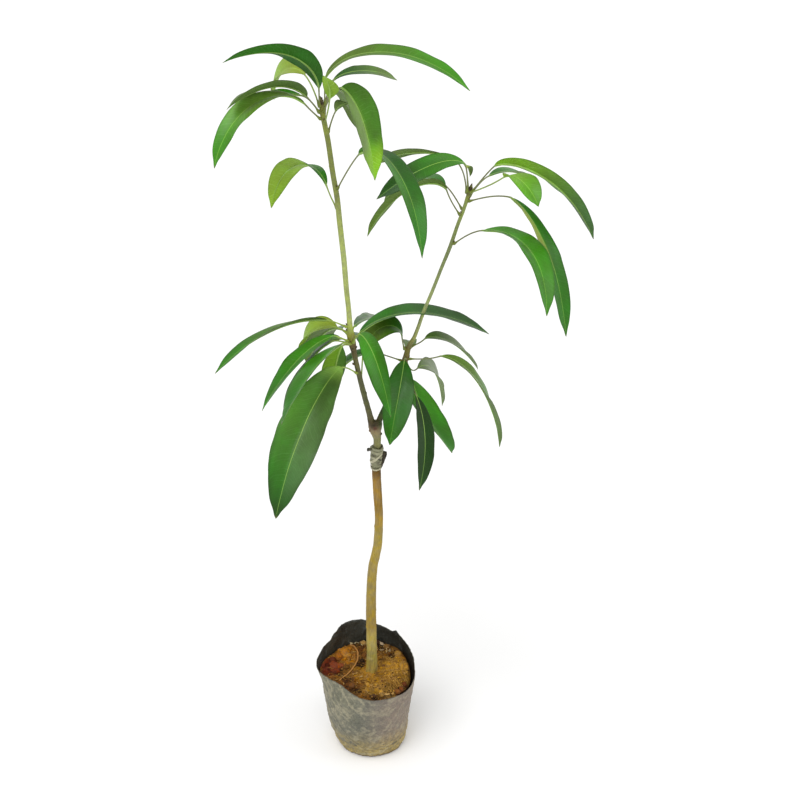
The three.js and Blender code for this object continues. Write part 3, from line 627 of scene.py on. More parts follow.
def bag_material():
    """Black film under dust: `bg` holds height mm, angle and 1 on the inner face, 2 on the lip's edge."""
    m = Mat("bag_film_look", rough=0.5, spec=0.5)
    z, turn, inner = m.sep(m.attr("bg"))
    place = m.place()
    big = m.noise(place, 26.0, 4.0, 0.6)
    mid = m.noise(place, 6.0, 4.0, 0.65)
    small = m.noise(place, 0.9, 2.0, 0.6)
    crease = m.attr("fold", "Fac")
    dust_low = m.range(m.math("MULTIPLY_ADD", m.math("SUBTRACT", big, 0.5), 46.0, z), 66.0, 6.0, 0.0, 1.0)
    slant = m.comb(m.math("ADD", m.math("MULTIPLY", turn, 58.0), m.math("MULTIPLY", z, 0.8)), m.math("MULTIPLY", z, 0.12), 0.0)
    drawn = m.noise(slant, 2.4, 5.0, 0.66)
    grey = m.mixc(m.range(big, 0.3, 0.7), lin4((88, 89, 80)), lin4((108, 107, 95)))
    grey = m.mixc(m.math("MULTIPLY", m.attr("sage", "Fac"), m.range(z, 40.0, 120.0, 0.2, 0.55)), grey, lin4((126, 124, 98)))
    # the right front is warmer and lighter: partly the film's own tint, partly painted light falling from that side
    grey = m.mixc(m.math("MULTIPLY", m.attr("warm_lit", "Fac"), 0.75), grey, lin4((146, 128, 112)))
    tan = m.mixc(m.range(mid, 0.35, 0.65), lin4((148, 127, 64)), lin4((186, 163, 92)))
    dust = m.mixc(m.math("MULTIPLY", dust_low, m.range(big, 0.3, 0.62, 0.6, 1.0)), grey, tan)
    film = m.mixc(m.range(big, 0.3, 0.7), lin4((46, 50, 46)), lin4((64, 67, 61)))
    cover = m.math("ADD", m.range(mid, 0.30, 0.64, 0.66, 1.0), m.math("MULTIPLY", dust_low, 0.10))
    cover = m.math("SUBTRACT", cover, m.math("MULTIPLY", m.range(drawn, 0.56, 0.74), 0.30), clamp=True)
    # in the creases' grooves the dust gives way to the dark film: painted shade
    cover = m.math("SUBTRACT", cover, m.math("MULTIPLY", m.range(crease, -0.25, -0.95), 0.55), clamp=True)
    colour = m.mixc(cover, film, dust)
    colour = m.mixc(m.math("MULTIPLY", m.range(drawn, 0.44, 0.28), 0.20), colour, lin4((166, 162, 142)))
    # the creases' raised edges are paler: a painted highlight
    colour = m.mixc(m.math("MULTIPLY", m.range(crease, 0.35, 1.0), 0.45), colour, lin4((172, 164, 136)))
    colour = m.hsv(colour, value=m.range(m.noise(place, 2.6, 3.0, 0.7), 0.28, 0.72, 0.72, 1.16))
    grit = m.range(m.cells(place, 1.6), 0.07, 0.14, 1.0, 0.0)
    grit = m.math("MULTIPLY", grit, m.range(m.noise(place, 11.0, 2.0), 0.5, 0.62))
    colour = m.mixc(m.math("MULTIPLY", grit, 0.6), colour, lin4((192, 182, 150)))
    # the very foot is darker brown
    colour = m.mixc(m.math("MULTIPLY", m.range(z, 5.0, 1.5), 0.75), colour, lin4((86, 66, 44)))
    inside = m.math("LESS_THAN", m.math("ABSOLUTE", m.math("SUBTRACT", inner, 1.0)), 0.5)
    dark = m.mixc(m.range(big, 0.35, 0.65), lin4((38, 40, 36)), lin4((62, 64, 58)))
    # pale upright streaks on the inner face: a painted sheen
    dark = m.mixc(m.math("MULTIPLY", m.range(m.noise(m.place((1, 1, 0.35)), 5.0, 3.0, 0.6), 0.54, 0.70), 0.55), dark, lin4((86, 92, 92)))
    dark = m.mixc(m.math("MULTIPLY", m.range(z, 130.0, 124.0), 0.45), dark, lin4((58, 40, 24)))
    colour = m.mixc(inside, colour, dark)
    colour = m.mixc(m.math("MULTIPLY", m.range(inner, 1.4, 2.0), 0.8), colour, m.mixc(m.range(mid, 0.4, 0.6), lin4((70, 72, 68)), lin4((128, 122, 106))))
    m.base(colour)
    out_rough = m.math("MULTIPLY_ADD", cover, 0.38, 0.32)
    in_rough = m.range(mid, 0.3, 0.7, 0.26, 0.46, "LINEAR")
    rough = m.node("Mix", data_type="FLOAT")
    m.put(rough.inputs[0], inside)
    m.put(rough.inputs[2], out_rough)
    m.put(rough.inputs[3], in_rough)
    m.rough(rough.outputs[0])
    crinkle = m.noise(m.place((1, 1, 0.7)), 3.2, 3.0, 0.6, twist=0.8)
    facet = m.range(m.cells(m.place((1, 1, 0.7)), 8.0, "DISTANCE_TO_EDGE"), 0.0, 0.34)
    facet2 = m.range(m.cells(m.place((1, 1, 0.8)), 3.1, "DISTANCE_TO_EDGE"), 0.0, 0.4)
    height = m.math("ADD", m.math("MULTIPLY", crinkle, 0.7), m.math("MULTIPLY", small, 0.2))
    height = m.math("ADD", height, m.math("MULTIPLY_ADD", facet, 0.55, m.math("MULTIPLY", facet2, 0.28)))
    m.normal(m.bump(height, 0.75, 0.9))
    return m.m


def soil_material(name, speck=1.0, rough=0.95):
    """Peat and coir from the piece's own tint."""
    m = Mat(name, rough=rough, spec=0.15)
    place = m.place()
    tint = m.attr("tint", "Color")
    a = m.noise(place, 5.0, 4.0, 0.65)
    b = m.noise(place, 1.1, 3.0, 0.65)
    value = m.math("MULTIPLY", m.range(a, 0.25, 0.75, 0.72, 1.25), m.range(b, 0.2, 0.8, 0.75, 1.22))
    colour = m.hsv(tint, value=value, sat=m.range(a, 0.3, 0.7, 0.92, 1.08))
    grain = m.range(m.cells(place, 1.3), 0.08, 0.2, 1.0, 0.0)
    grain = m.math("MULTIPLY", grain, m.range(m.noise(place, 3.0, 1.0), 0.5, 0.6))
    colour = m.mixc(m.math("MULTIPLY", grain, 0.15 * speck), colour, lin4((168, 132, 76)))
    # dark cells painted as pits: painted shade in small hollows
    pit_shade = m.range(m.cells(place, 2.1), 0.4, 0.7)
    colour = m.mixc(m.math("MULTIPLY", pit_shade, 0.35 * speck), colour, m.hsv(tint, value=0.3))
    m.base(colour)
    m.normal(m.bump(m.math("ADD", m.math("MULTIPLY", b, 0.8), m.math("MULTIPLY", a, 0.5)), 0.7, 0.5))
    return m.m


def fibre_material(name):
    m = Mat(name, rough=0.8, spec=0.25)
    tint = m.attr("tint", "Color")
    n = m.noise(m.place(), 1.4, 2.0, 0.6)
    m.base(m.hsv(tint, value=m.range(n, 0.25, 0.75, 0.8, 1.2)))
    m.normal(m.bump(n, 0.3, 0.15))
    return m.m


def tape_material():
    """Greyish grafting film, darker in its grooves as painted shade and paler on its raised edges as a painted
    highlight. `fold` is below 0 in a groove, above on an edge.
    """
    m = Mat("graft_tape_look", rough=0.42, spec=0.45)
    place = m.place()
    a = m.noise(place, 7.0, 4.0, 0.6)
    b = m.noise(place, 1.4, 3.0, 0.6)
    fold = m.attr("fold", "Fac")
    colour = m.mixc(m.range(a, 0.3, 0.7), lin4((118, 118, 88)), lin4((158, 158, 128)))
    # raised edges paler as a painted highlight; grooves darker as painted shade, darkest in the deepest
    colour = m.mixc(m.math("MULTIPLY", m.range(fold, 0.15, 0.95), 0.72), colour, lin4((204, 198, 168)))
    colour = m.mixc(m.math("MULTIPLY", m.range(fold, -0.05, -0.8), 0.75), colour, lin4((70, 64, 42)))
    colour = m.mixc(m.math("MULTIPLY", m.range(fold, -0.7, -0.95), 0.8), colour, lin4((26, 25, 20)))
    colour = m.mixc(m.math("MULTIPLY", m.range(b, 0.56, 0.72), 0.4), colour, lin4((96, 88, 60)))
    m.base(colour)
    m.rough(m.range(a, 0.3, 0.7, 0.34, 0.55, "LINEAR"))
    m.normal(m.bump(m.math("ADD", b, m.noise(m.place((1, 1, 2.2)), 1.1, 2.0)), 0.45, 0.3))
    return m.m


def wood_material(name, low, high, rough=0.8):
    m = Mat(name, rough=rough, spec=0.25)
    place = m.place()
    a = m.noise(m.place((1, 1, 0.3)), 2.0, 4.0, 0.6)
    b = m.noise(place, 0.7, 3.0, 0.6)
    m.base(m.mixc(m.range(a, 0.3, 0.7), lin4(low), lin4(high)))
    m.normal(m.bump(m.math("ADD", a, m.math("MULTIPLY", b, 0.5)), 0.6, 0.4))
    return m.m


MAT_LEAF = leaf_material("leaf_look", 0.28, 0.42)
MAT_YOUNG = leaf_material("leaf_young_look", 0.34, 0.46)
MAT_TRUNK = stem_material("rootstock_bark_look", 1.0, 0.75, 0.82)
MAT_STEM = stem_material("stem_bark_look", 0.7, 0.45, 0.6)
MAT_BAG = bag_material()
MAT_SOIL = soil_material("potting_soil_look")
MAT_CLOD = soil_material("soil_clod_look", 0.8)
MAT_FIBRE = fibre_material("coir_fibre_look")
MAT_TAPE = tape_material()
MAT_HEEL = wood_material("cut_wood_look", (30, 28, 24), (78, 70, 56))


def finish_piece(ob, slot, *nodes):
    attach(ob, "root")
    if nodes:
        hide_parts(*nodes)
    return ob


# -------------------------------------------------------------------- leaves
BLADE_FOOT, BLADE_TIP = 0.80, 0.80


def outline(s):
    peak = BLADE_FOOT / (BLADE_FOOT + BLADE_TIP)
    top = peak**BLADE_FOOT * (1 - peak) ** BLADE_TIP
    s = np.clip(s, 0, 1)
    shape = s**BLADE_FOOT * (1 - s) ** BLADE_TIP / top
    return shape * (1 - 0.26 * np.exp(-(((s - 0.962) / 0.04) ** 2)))  # drawn-out tip


COLS = 20


def direction(e, a):
    return np.stack([np.cos(e) * np.cos(a), np.cos(e) * np.sin(a), np.sin(e)], -1)


def leaf(name, row, line, tints, sheen_halves, seed, material):
    at, az, turn, climb, lift, droop, bend, stalk, length, width, roll, twist = row
    width, length = width * WIDER.get(name[6:], 1.0), length * LONGER.get(name[6:], 1.0)
    x, y, _, d = at_height(line, np.array([at]))[0][:4]
    bearing = rad(az)
    out = np.array([math.cos(bearing), math.sin(bearing), 0.0])
    foot = np.array([x, y, at]) + out * (d / 2 + 1.3)
    # stalk
    n_p = max(10, int(stalk / 2.0))
    mids, ends = (np.arange(n_p) + 0.5) / n_p, np.arange(n_p + 1) / n_p
    steps = direction(rad(climb + (lift - climb) * mids**2), np.full(n_p, bearing)) * (stalk / n_p)
    stalk_p = np.vstack([foot, foot + np.cumsum(steps, 0)])
    stalk_e, stalk_a, stalk_r = rad(climb + (lift - climb) * ends**2), np.full(n_p + 1, bearing), rad(roll * ends)
    # blade, with a slight ripple that leaves its course alone
    n_b = int(round(length / 1.5 / 24)) * 24
    mids, ends = (np.arange(n_b) + 0.5) / n_b, np.arange(n_b + 1) / n_b
    ripple = 2.2 * noise(np.stack([mids * length / 24, 0 * mids, 0 * mids + seed], -1), 3) * np.sin(np.pi * mids)
    e_mid = lift + (droop - lift) * mids**bend + ripple
    steps = direction(rad(e_mid), rad(az + turn * mids)) * (length / n_b)
    blade_p = np.vstack([stalk_p[-1], stalk_p[-1] + np.cumsum(steps, 0)])
    blade_e, blade_a = rad(lift + (droop - lift) * ends**bend), rad(az + turn * ends)
    blade_r = rad(roll + twist * ends)

    def sides(e, a, r):
        T = direction(e, a)
        across = np.stack([-np.sin(a), np.cos(a), 0 * a], -1)
        up = np.cross(T, across)
        c, s = np.cos(r)[:, None], np.sin(r)[:, None]
        return across * c + up * s, -across * s + up * c

    # ---- blade: upper face from one margin to the other, then back underneath
    u, v = sides(blade_e, blade_a, blade_r)
    t = np.linspace(1, -1, COLS + 1)
    xs = np.sin(t * np.pi / 2 * 0.9) / np.sin(np.pi / 2 * 0.9)
    ring_x = np.r_[xs, xs[-2:0:-1]]
    under = np.r_[np.zeros(COLS + 1), np.ones(COLS - 1)]
    face = np.where(np.abs(ring_x) > 0.9999, 0.0, np.where(under > 0, -1.0, 1.0))
    s = ends[:, None]
    X = ring_x[None, :]
    side = np.sign(X)
    rough_edge = 1 + 0.03 * noise(np.stack([(ends * length / 17), 0 * ends, 0 * ends + seed], -1), 11)[:, None] * (side > 0) \
        + 0.03 * noise(np.stack([(ends * length / 15), 0 * ends, 0 * ends + seed], -1), 12)[:, None] * (side <= 0)
    half = np.maximum(outline(s) * width / 2 * rough_edge, mix(1.0, 0.22, s))
    aX = np.abs(X)
    rise = 0.242 * (1.28 * (np.sqrt(aX**2 + 0.01) - 0.1) - 0.16 * aX**4)
    wave_r = noise(np.stack([ends * length / 21, 0 * ends + 5, 0 * ends + seed], -1), 21)[:, None]
    wave_l = noise(np.stack([ends * length / 23, 0 * ends + 9, 0 * ends + seed], -1), 22)[:, None]
    wave = np.where(side > 0, wave_r, wave_l) * aX**2.2 * np.minimum(half / 12, 1.2) * 1.25
    wave = wave * np.sin(np.pi * np.clip(s, 0, 1)) ** 0.4
    W = X * half
    phase = (s * length - 0.5 * np.abs(W) - 0.012 * W**2) / VEIN_STEP + 0.46 * (W > 0)
    puff = 0.16 * (0.5 - 0.5 * np.cos(2 * np.pi * (phase + 0.5))) * (1 - aX**4) * aX / (0.15 + aX)
    thick = (0.24 - 0.08 * aX) * np.sqrt(np.clip(1 - aX**6, 0, 1))
    height = half * rise * np.minimum(1, half / 3) + wave + puff + face[None, :] * thick
    pos = blade_p[:, None, :] + u[:, None, :] * (W * (1 - 0.03 * aX))[..., None] + v[:, None, :] * height[..., None]

    top0, top1 = lin(tints[0]), lin(tints[1])
    blend = smooth(0.1, 0.85, s)[..., None]
    upper = top0 * (1 - blend) + top1 * blend
    low = upper if tints[2] is None else lin(tints[2])
    # some blades get one half in a different green: a painted sheen and shade
    if sheen_halves:
        first_half = smooth(-0.08, 0.08, X)[..., None] + 0 * blend
        own = lin(sheen_halves[0]) * first_half + lin(sheen_halves[1]) * (1 - first_half)
        part = (0.8 * smooth(sheen_halves[2] - 0.08, sheen_halves[2] + 0.08, s) * (1 - smooth(sheen_halves[3] - 0.1, sheen_halves[3] + 0.1, s)))[..., None]
        upper = upper * (1 - part) + own * part
        low = low * (1 - part) + own * part
    kind = np.where(face > 0, 0.0, np.where(face < 0, 1.0, 0.45))[None, :] + 0 * s
    colour = np.where(kind[..., None] > 0.5, low * (0.92 + 0.16 * blend), upper)
    # long soft bands where the blade is older or thinner
    band = fbm(np.stack([(s * length + 0 * X).ravel() / 2.6, (W * 1.6).ravel(), np.full(X.size * len(s), seed * 3.0)], -1), 17.0, 3, 27)
    colour = colour * (1 + 0.26 * band.reshape(W.shape))[..., None]
    # margins a little paler at their very edge and darker just inside, the last of the tip browned
    rim = (smooth(0.78, 0.96, aX) * 0.22)[..., None] + 0 * blend
    colour = colour * (1 - rim)
    margin = (smooth(0.965, 1.0, aX) * 0.16)[..., None] + 0 * blend
    colour = colour * (1 - margin) + lin((124, 150, 60)) * margin
    brown = (smooth(0.972, 0.997, s) * 0.6)[..., None] + 0 * margin
    colour = colour * (1 - brown) + lin((98, 92, 58)) * brown
    core = (np.exp(-(aX * half / 1.3) ** 2) * 0.30)[..., None]
    colour = colour * (1 - core) + (colour * 1.25 + lin((24, 42, 6))) * core
    lf = np.stack([s * length + 0 * X, W, kind], -1)
    parts = Parts()
    j = np.arange(2 * COLS)
    top_side = j < COLS
    va = np.where(top_side, 0.01 + 0.40 * j / COLS, 0.45 + 0.40 * (j - COLS) / COLS)
    vb = np.where(top_side, 0.01 + 0.40 * (j + 1) / COLS, 0.45 + 0.40 * (j - COLS + 1) / COLS)
    first = parts.grid(pos, {"lf": lf, "tint": np.concatenate([colour, np.ones(colour.shape[:2] + (1,))], -1)},
                       rect=(0.01, 0, 0.99, 1), split=np.stack([va, vb], -1))
    n = 2 * COLS
    near = {"lf": [0, 0, 0], "tint": [*colour[0, 0], 1]}
    far = {"lf": [length, 0, 0], "tint": [*colour[-1, 0], 1]}
    parts.fan(first + np.arange(n), blade_p[0], near, flip=True, place=(0.012, 0.2))
    parts.fan(first + n_b * n + np.arange(n), blade_p[-1] + (blade_p[-1] - blade_p[-2]) * 0.3, far, place=(0.988, 0.2))

    # ---- stalk and midrib: one tapering tube
    keep = ends[1:] < 0.975
    tube_p = np.vstack([foot - out * 2.6, foot - out * 1.2, stalk_p, blade_p[1:][keep]])
    e_all = np.r_[stalk_e[0] * 0.5, stalk_e[0] * 0.8, stalk_e, blade_e[1:][keep]]
    a_all = np.r_[bearing, bearing, stalk_a, blade_a[1:][keep]]
    r_all = np.r_[0, 0, stalk_r, blade_r[1:][keep]]
    tu, tv = sides(e_all, a_all, r_all)
    dist = np.r_[-2.6, -1.2, ends_to(stalk, n_p), stalk + ends[1:][keep] * length]
    sb = np.clip((dist - stalk) / length, 0, 1)
    rib = 1.18 + 0.50 * float(smooth(110.0, 210.0, np.float64(length)))
    into = smooth(-5.0, 7.0, dist - stalk)
    radius = (0.92 + 1.10 * np.exp(-((np.maximum(dist, 0) / 4.2) ** 2))) * (1 - into) + mix(rib, 0.28, np.clip(sb, 0, 1)) * into
    radius = radius * (1 + 0.04 * noise(np.stack([dist / 3.1, 0 * dist, 0 * dist + seed], -1), 31))
    sink = smooth(-6.0, 10.0, dist - stalk)
    centre = tube_p + tv * (sink * (0.40 - radius))[:, None]
    sides_n = 10
    ang = 2 * np.pi * np.arange(sides_n) / sides_n
    ring = centre[:, None] + radius[:, None, None] * (
        tu[:, None] * np.cos(ang)[None, :, None] + tv[:, None] * np.sin(ang)[None, :, None]
    )
    young = name[6:] in YOUNG
    stalk_c = lin((142, 164, 84)) if young else (lin((148, 172, 80)) if "tier" in name else lin((118, 124, 84)))
    foot_c = lin((138, 156, 60)) if "tier" in name else lin((112, 124, 52))
    rib_share = 0.30 if name[6:] == "crown_07" else 0.62 + 0.13 * float(smooth(130.0, 210.0, np.float64(length)))
    rib_c = top0 * (1 - rib_share) + lin((164, 204, 100)) * rib_share
    rib_under = lin(tints[2] or tints[0]) * 0.35 + lin((146, 172, 96)) * 0.65
    f1 = smooth(2.0, 14.0, dist)[:, None]
    f2 = smooth(-4.0, 8.0, dist - stalk)[:, None]
    tc = (foot_c * (1 - f1) + stalk_c * f1) * (1 - f2) + rib_c * f2
    fade = (smooth(0.3, 0.95, sb) * 0.55)[:, None]
    tc = tc * (1 - fade) + (top1 * 1.35 + lin((20, 34, 6))) * fade
    tcol = np.repeat(tc[:, None], sides_n, 1)
    tcol = np.where((np.sin(ang) < -0.2)[None, :, None] & (f2[:, None] > 0.5), tcol * 0.5 + rib_under * 0.5, tcol)
    first = parts.grid(ring, {"lf": np.stack([np.repeat(dist[:, None], sides_n, 1), 0 * ring[..., 0], 0 * ring[..., 0] + 2.0], -1),
                              "tint": np.concatenate([tcol, np.ones(tcol.shape[:2] + (1,))], -1)},
                       rect=(0.01, 0.88, 0.99, 0.99))
    parts.fan(first + np.arange(sides_n), centre[0], {"lf": [0, 0, 2], "tint": [*tcol[0, 0], 1]}, flip=True, place=(0.01, 0.9))
    rows = len(ring)
    parts.fan(first + (rows - 1) * sides_n + np.arange(sides_n), centre[-1] + (centre[-1] - centre[-2]) * 0.2,
              {"lf": [0, 0, 2], "tint": [*tcol[-1, 0], 1]}, place=(0.99, 0.9))
    return parts.make(name, material, {"lf": "FLOAT_VECTOR", "tint": "FLOAT_COLOR"})


def ends_to(stalk, n_p):
    return np.arange(n_p + 1) / n_p * stalk


leader_run, side_run = run(LEADER, 12), run(SIDE, 12)
seed = 0
for group, rows in LEAVES.items():
    line = leader_run if group in ("crown", "tier") else side_run
    for k, row in enumerate(rows):
        seed += 1
        key = f"{group}_{k + 1:02d}"
        tints = [GREENS.get(c) for c in DEALT[key].split()]
        sheen_halves = [GREENS.get(c, c) for c in SHEEN_HALVES[key]] if key in SHEEN_HALVES else None
        ob = leaf("blade_" + key, row, line, tints, sheen_halves, seed * 7.31,
                  MAT_YOUNG if key in YOUNG else MAT_LEAF)
        finish_piece(ob, "leaf_young" if key in YOUNG else "leaf", "leaf_" + key)


# --------------------------------------------------------------------- stems
def limb(name, line, sides, material, bump, colours, step=1.2, ratio=None, cap=(True, True)):
    """A limb's skin: rows of x, y, z, radius; bump(P, ang, dist, n) gives the relief in mm; colours maps points to colour."""
    line, dist = resample(line, step)
    P, R = line[:, :3], line[:, 3]
    T, U, V = frames_along(P)
    ang = 2 * np.pi * np.arange(sides) / sides
    out = U[:, None] * np.cos(ang)[None, :, None] + V[:, None] * np.sin(ang)[None, :, None]
    wide = np.ones((len(P), sides))
    if line.shape[1] > 4:
        wide = 1 + (line[:, 4:5] - 1) * np.abs(out[..., 0]) ** 2
    skin = P[:, None] + out * (R[:, None] * wide)[..., None]
    flat = skin.reshape(-1, 3)
    h = bump(flat, np.tile(ang, len(P)), np.repeat(dist, sides), out.reshape(-1, 3)).reshape(len(P), sides)
    pos = skin + out * h[..., None]
    col = colours(flat, np.repeat(dist, sides), h.ravel()).reshape(len(P), sides, 3)
    parts = Parts()
    tint = np.concatenate([col, np.ones(col.shape[:2] + (1,))], -1)
    first = parts.grid(pos, {"tint": tint}, rect=(0.005, 0.005, 0.995, 0.96))
    if cap[0]:
        parts.fan(first + np.arange(sides), P[0], {"tint": tint[0, 0]}, flip=True, place=(0.01, 0.98))
    if cap[1]:
        parts.fan(first + (len(P) - 1) * sides + np.arange(sides), P[-1] + T[-1] * R[-1] * 0.3, {"tint": tint[-1, 0]}, place=(0.99, 0.98))
    return parts.make(name, material, {"tint": "FLOAT_COLOR"})


def by_height(table):
    zs = np.array([t[0] for t in table], float)
    cs = np.array([lin(t[1]) for t in table])
    return lambda p, dist, h: np.stack([np.interp(p[:, 2], zs, cs[:, k]) for k in range(3)], -1)


def scars(list_of, p, axis_x, axis_y):
    """Raised marks: (height, bearing in degrees, height of the mark, half height, half width)."""
    total = np.zeros(len(p))
    a = np.arctan2(p[:, 1] - axis_y, p[:, 0] - axis_x)
    for z, bearing, up, tall, wide in list_of:
        turn = (a - math.radians(bearing) + math.pi) % (2 * math.pi) - math.pi
        total += up * np.exp(-(((p[:, 2] - z) / tall) ** 2) - ((turn / math.radians(wide)) ** 2))
    return total


trunk_run = run(TRUNK, 12)
TRUNK_SCARS = [(150, 250, 0.7, 2.2, 24), (171, 80, 0.8, 2.0, 22), (203, 200, 0.9, 2.4, 24), (232, 330, 0.7, 2.0, 22),
               (262, 260, 0.8, 2.4, 26), (291, 140, 0.8, 2.2, 24), (318, 20, 0.9, 2.6, 26), (349, 290, 0.9, 2.6, 28),
               (371, 190, 0.7, 2.0, 22), (398, 240, 0.8, 2.4, 24), (424, 100, 0.7, 2.2, 24), (446, 300, 0.7, 2.2, 24)]


def trunk_bump(p, ang, dist, out):
    c = at_height(trunk_run, p[:, 2])
    tall = p * np.array([1, 1, 0.13])
    h = 0.22 * ridge(tall, 2.6, 3, 41) + 0.30 * fbm(p * np.array([1, 1, 0.35]), 7.0, 3, 43)
    h += 0.12 * fbm(p, 1.7, 2, 47)
    h += scars(TRUNK_SCARS, p, c[:, 0], c[:, 1])
    flare = np.exp(-np.maximum(p[:, 2] - 124, 0) / 7.0)
    a = np.arctan2(p[:, 1] - c[:, 1], p[:, 0] - c[:, 0])
    h = h - 0.45 * smooth(240, 150, p[:, 2])
    return h + flare * (0.5 + 0.6 * np.cos(5 * a + 0.7) + 0.4 * np.cos(3 * a - 1.0))


TRUNK_TINT = by_height([
    (118, (132, 110, 52)), (130, (160, 138, 68)), (158, (176, 160, 88)), (190, (166, 148, 78)), (206, (146, 122, 56)),
    (275, (152, 132, 64)), (350, (162, 142, 72)), (385, (156, 130, 64)), (405, (140, 112, 54)), (424, (158, 128, 68)),
    (440, (156, 124, 66)), (452, (124, 92, 42)), (458, (108, 80, 34)), (478, (116, 106, 66)), (498, (126, 122, 84)),
])


def trunk_tint(p, dist, h):
    c = TRUNK_TINT(p, dist, h)
    green = smooth(0.05, 0.5, fbm(p, 30.0, 2, 51))[:, None] * 0.24
    c = c * (1 - green) + lin((122, 120, 56)) * green
    worn = smooth(0.1, 0.6, fbm(p * np.array([1, 1, 0.5]), 9.0, 3, 53))[:, None] * 0.22
    c = c * (1 - worn) + lin((172, 152, 104)) * worn
    # the right side of the upper trunk is painted darker: painted shade on the side turned from the light
    side = (p[:, 0] - at_height(trunk_run, p[:, 2])[:, 0]) / 5.5
    painted_side_shade = (smooth(0.1, 1.0, side) * smooth(380, 430, p[:, 2]) * 0.34)[:, None]
    c = c * (1 - painted_side_shade)
    # darker where the relief sinks: painted shade in the bark's hollows
    low = smooth(-0.15, -0.55, h)[:, None] * 0.5
    return c * (1 - low) + c * 0.45 * low


lower = trunk_run[trunk_run[:, 2] < 492].copy()
lower[:, 3] /= 2
lower = np.vstack([[0.4, 0, 119.0, 9.4, 1.0], lower])
finish_piece(limb("trunk_bark", lower, 64, MAT_TRUNK, trunk_bump, trunk_tint, 1.1), "rootstock_bark", "trunk")

# ---- leader
HUB = (-17.8, -12.0, 645.0)
def leaf_marks(groups, up, tall, wide):
    return [(row[0], row[1], up, tall, wide) for g in groups for row in LEAVES[g]]


LEADER_SCARS = [(572, 20, 0.7, 1.6, 34), (588, 86, 0.7, 1.8, 36), (604, 238, 0.7, 1.8, 36), (622, 300, 0.5, 1.5, 30),
                (690, 330, 0.35, 1.2, 30), (738, 150, 0.35, 1.2, 30), (868, 200, 0.35, 1.2, 30)]
LEADER_SCARS += leaf_marks(("crown",), 0.5, 1.5, 34)


def ring_marks(p, centre, spread, period, up):
    """Close rings of bud scale marks round a growth joint."""
    d = p[:, 2] - centre + 0.5 * noise(p / 3.0, 61)
    return up * np.exp(-((d / spread) ** 2)) * (0.5 + 0.5 * np.cos(2 * np.pi * d / period))


def leader_bump(p, ang, dist, out):
    c = at_height(leader_run, p[:, 2])
    h = 0.10 * fbm(p * np.array([1, 1, 0.3]), 3.0, 3, 71) + 0.07 * ridge(p * np.array([1, 1, 0.15]), 1.5, 2, 73) * smooth(690, 640, p[:, 2])
    h += 0.16 * fbm(p, 9.0, 2, 75) * smooth(700, 630, p[:, 2])
    h += scars(LEADER_SCARS, p, c[:, 0], c[:, 1])
    h += ring_marks(p, 640.5, 5.5, 1.7, 0.55) + ring_marks(p, 556.0, 3.0, 1.5, 0.35) + ring_marks(p, 662.0, 2.0, 1.3, 0.15)
    h += 0.8 * np.exp(-(((p[:, 2] - 648.0) / 9.0) ** 2)) + 0.9 * np.exp(-(((p[:, 2] - 655.5) / 6.0) ** 2)) + 0.35 * np.exp(-(((p[:, 2] - 930.0) / 9.0) ** 2))
    return h


LEADER_TINT = by_height([
    (530, (104, 96, 62)), (560, (96, 98, 62)), (600, (98, 100, 62)), (624, (104, 100, 58)), (634, (90, 80, 44)),
    (644, (92, 84, 44)), (649, (138, 150, 56)), (657, (150, 165, 60)), (664, (152, 166, 74)), (674, (168, 178, 106)),
    (760, (162, 174, 104)), (812, (150, 160, 92)), (834, (124, 132, 70)), (895, (122, 130, 68)), (915, (132, 142, 70)),
    (936, (118, 122, 58)), (941, (86, 72, 42)), (950, (62, 50, 32)),
])
SIDE_TINT = by_height([
    (522, (84, 84, 46)), (536, (54, 82, 32)), (560, (52, 84, 32)), (584, (66, 94, 40)), (596, (104, 100, 52)),
    (606, (112, 104, 52)), (618, (116, 110, 58)), (630, (150, 154, 92)), (655, (170, 180, 118)), (700, (136, 148, 96)),
    (745, (122, 134, 84)), (790, (136, 150, 84)), (806, (140, 154, 78)), (817, (104, 98, 56)), (820, (70, 60, 40)), (830, (54, 44, 30)),
])


def stem_tint(table, seed_no):
    def made(p, dist, h):
        c = table(p, dist, h)
        a = smooth(0.0, 0.6, fbm(p * np.array([1, 1, 0.4]), 8.0, 3, seed_no))[:, None] * 0.3
        c = c * (1 - a) + c * 0.72 * a
        b = smooth(0.45, 0.9, h)[:, None] * 0.45
        return c * (1 - b) + lin((108, 86, 52)) * b
    return made


def with_bud(line_run, cut):
    """Rows from the cut upward, closed by a pointed bud."""
    line = line_run[line_run[:, 2] > cut][:, :4].copy()
    line[:, 3] /= 2
    lean = (line[-1, :2] - line[-4, :2]) / (line[-1, 2] - line[-4, 2])
    tip, rows = line[-1], []
    for share, wide in ((0.18, 1.08), (0.4, 0.98), (0.62, 0.72), (0.82, 0.42), (0.94, 0.2), (1.0, 0.08)):
        up = BUD_LENGTH * share
        rows.append([tip[0] + lean[0] * up, tip[1] + lean[1] * up, tip[2] + up, tip[3] * wide])
    return np.vstack([line, rows])


def side_bump(p, ang, dist, out):
    c = at_height(side_run, p[:, 2])
    h = 0.09 * fbm(p * np.array([1, 1, 0.3]), 3.0, 3, 81) + 0.05 * ridge(p * np.array([1, 1, 0.15]), 1.4, 2, 83)
    h += scars(SIDE_SCARS, p, c[:, 0], c[:, 1])
    h += ring_marks(p, 592.5, 4.5, 1.6, 0.45) + ring_marks(p, 556.0, 3.0, 1.5, 0.3)
    h += 0.8 * np.exp(-(((p[:, 2] - 603.0) / 9.0) ** 2)) + 0.3 * np.exp(-(((p[:, 2] - 812.0) / 8.0) ** 2))
    return h


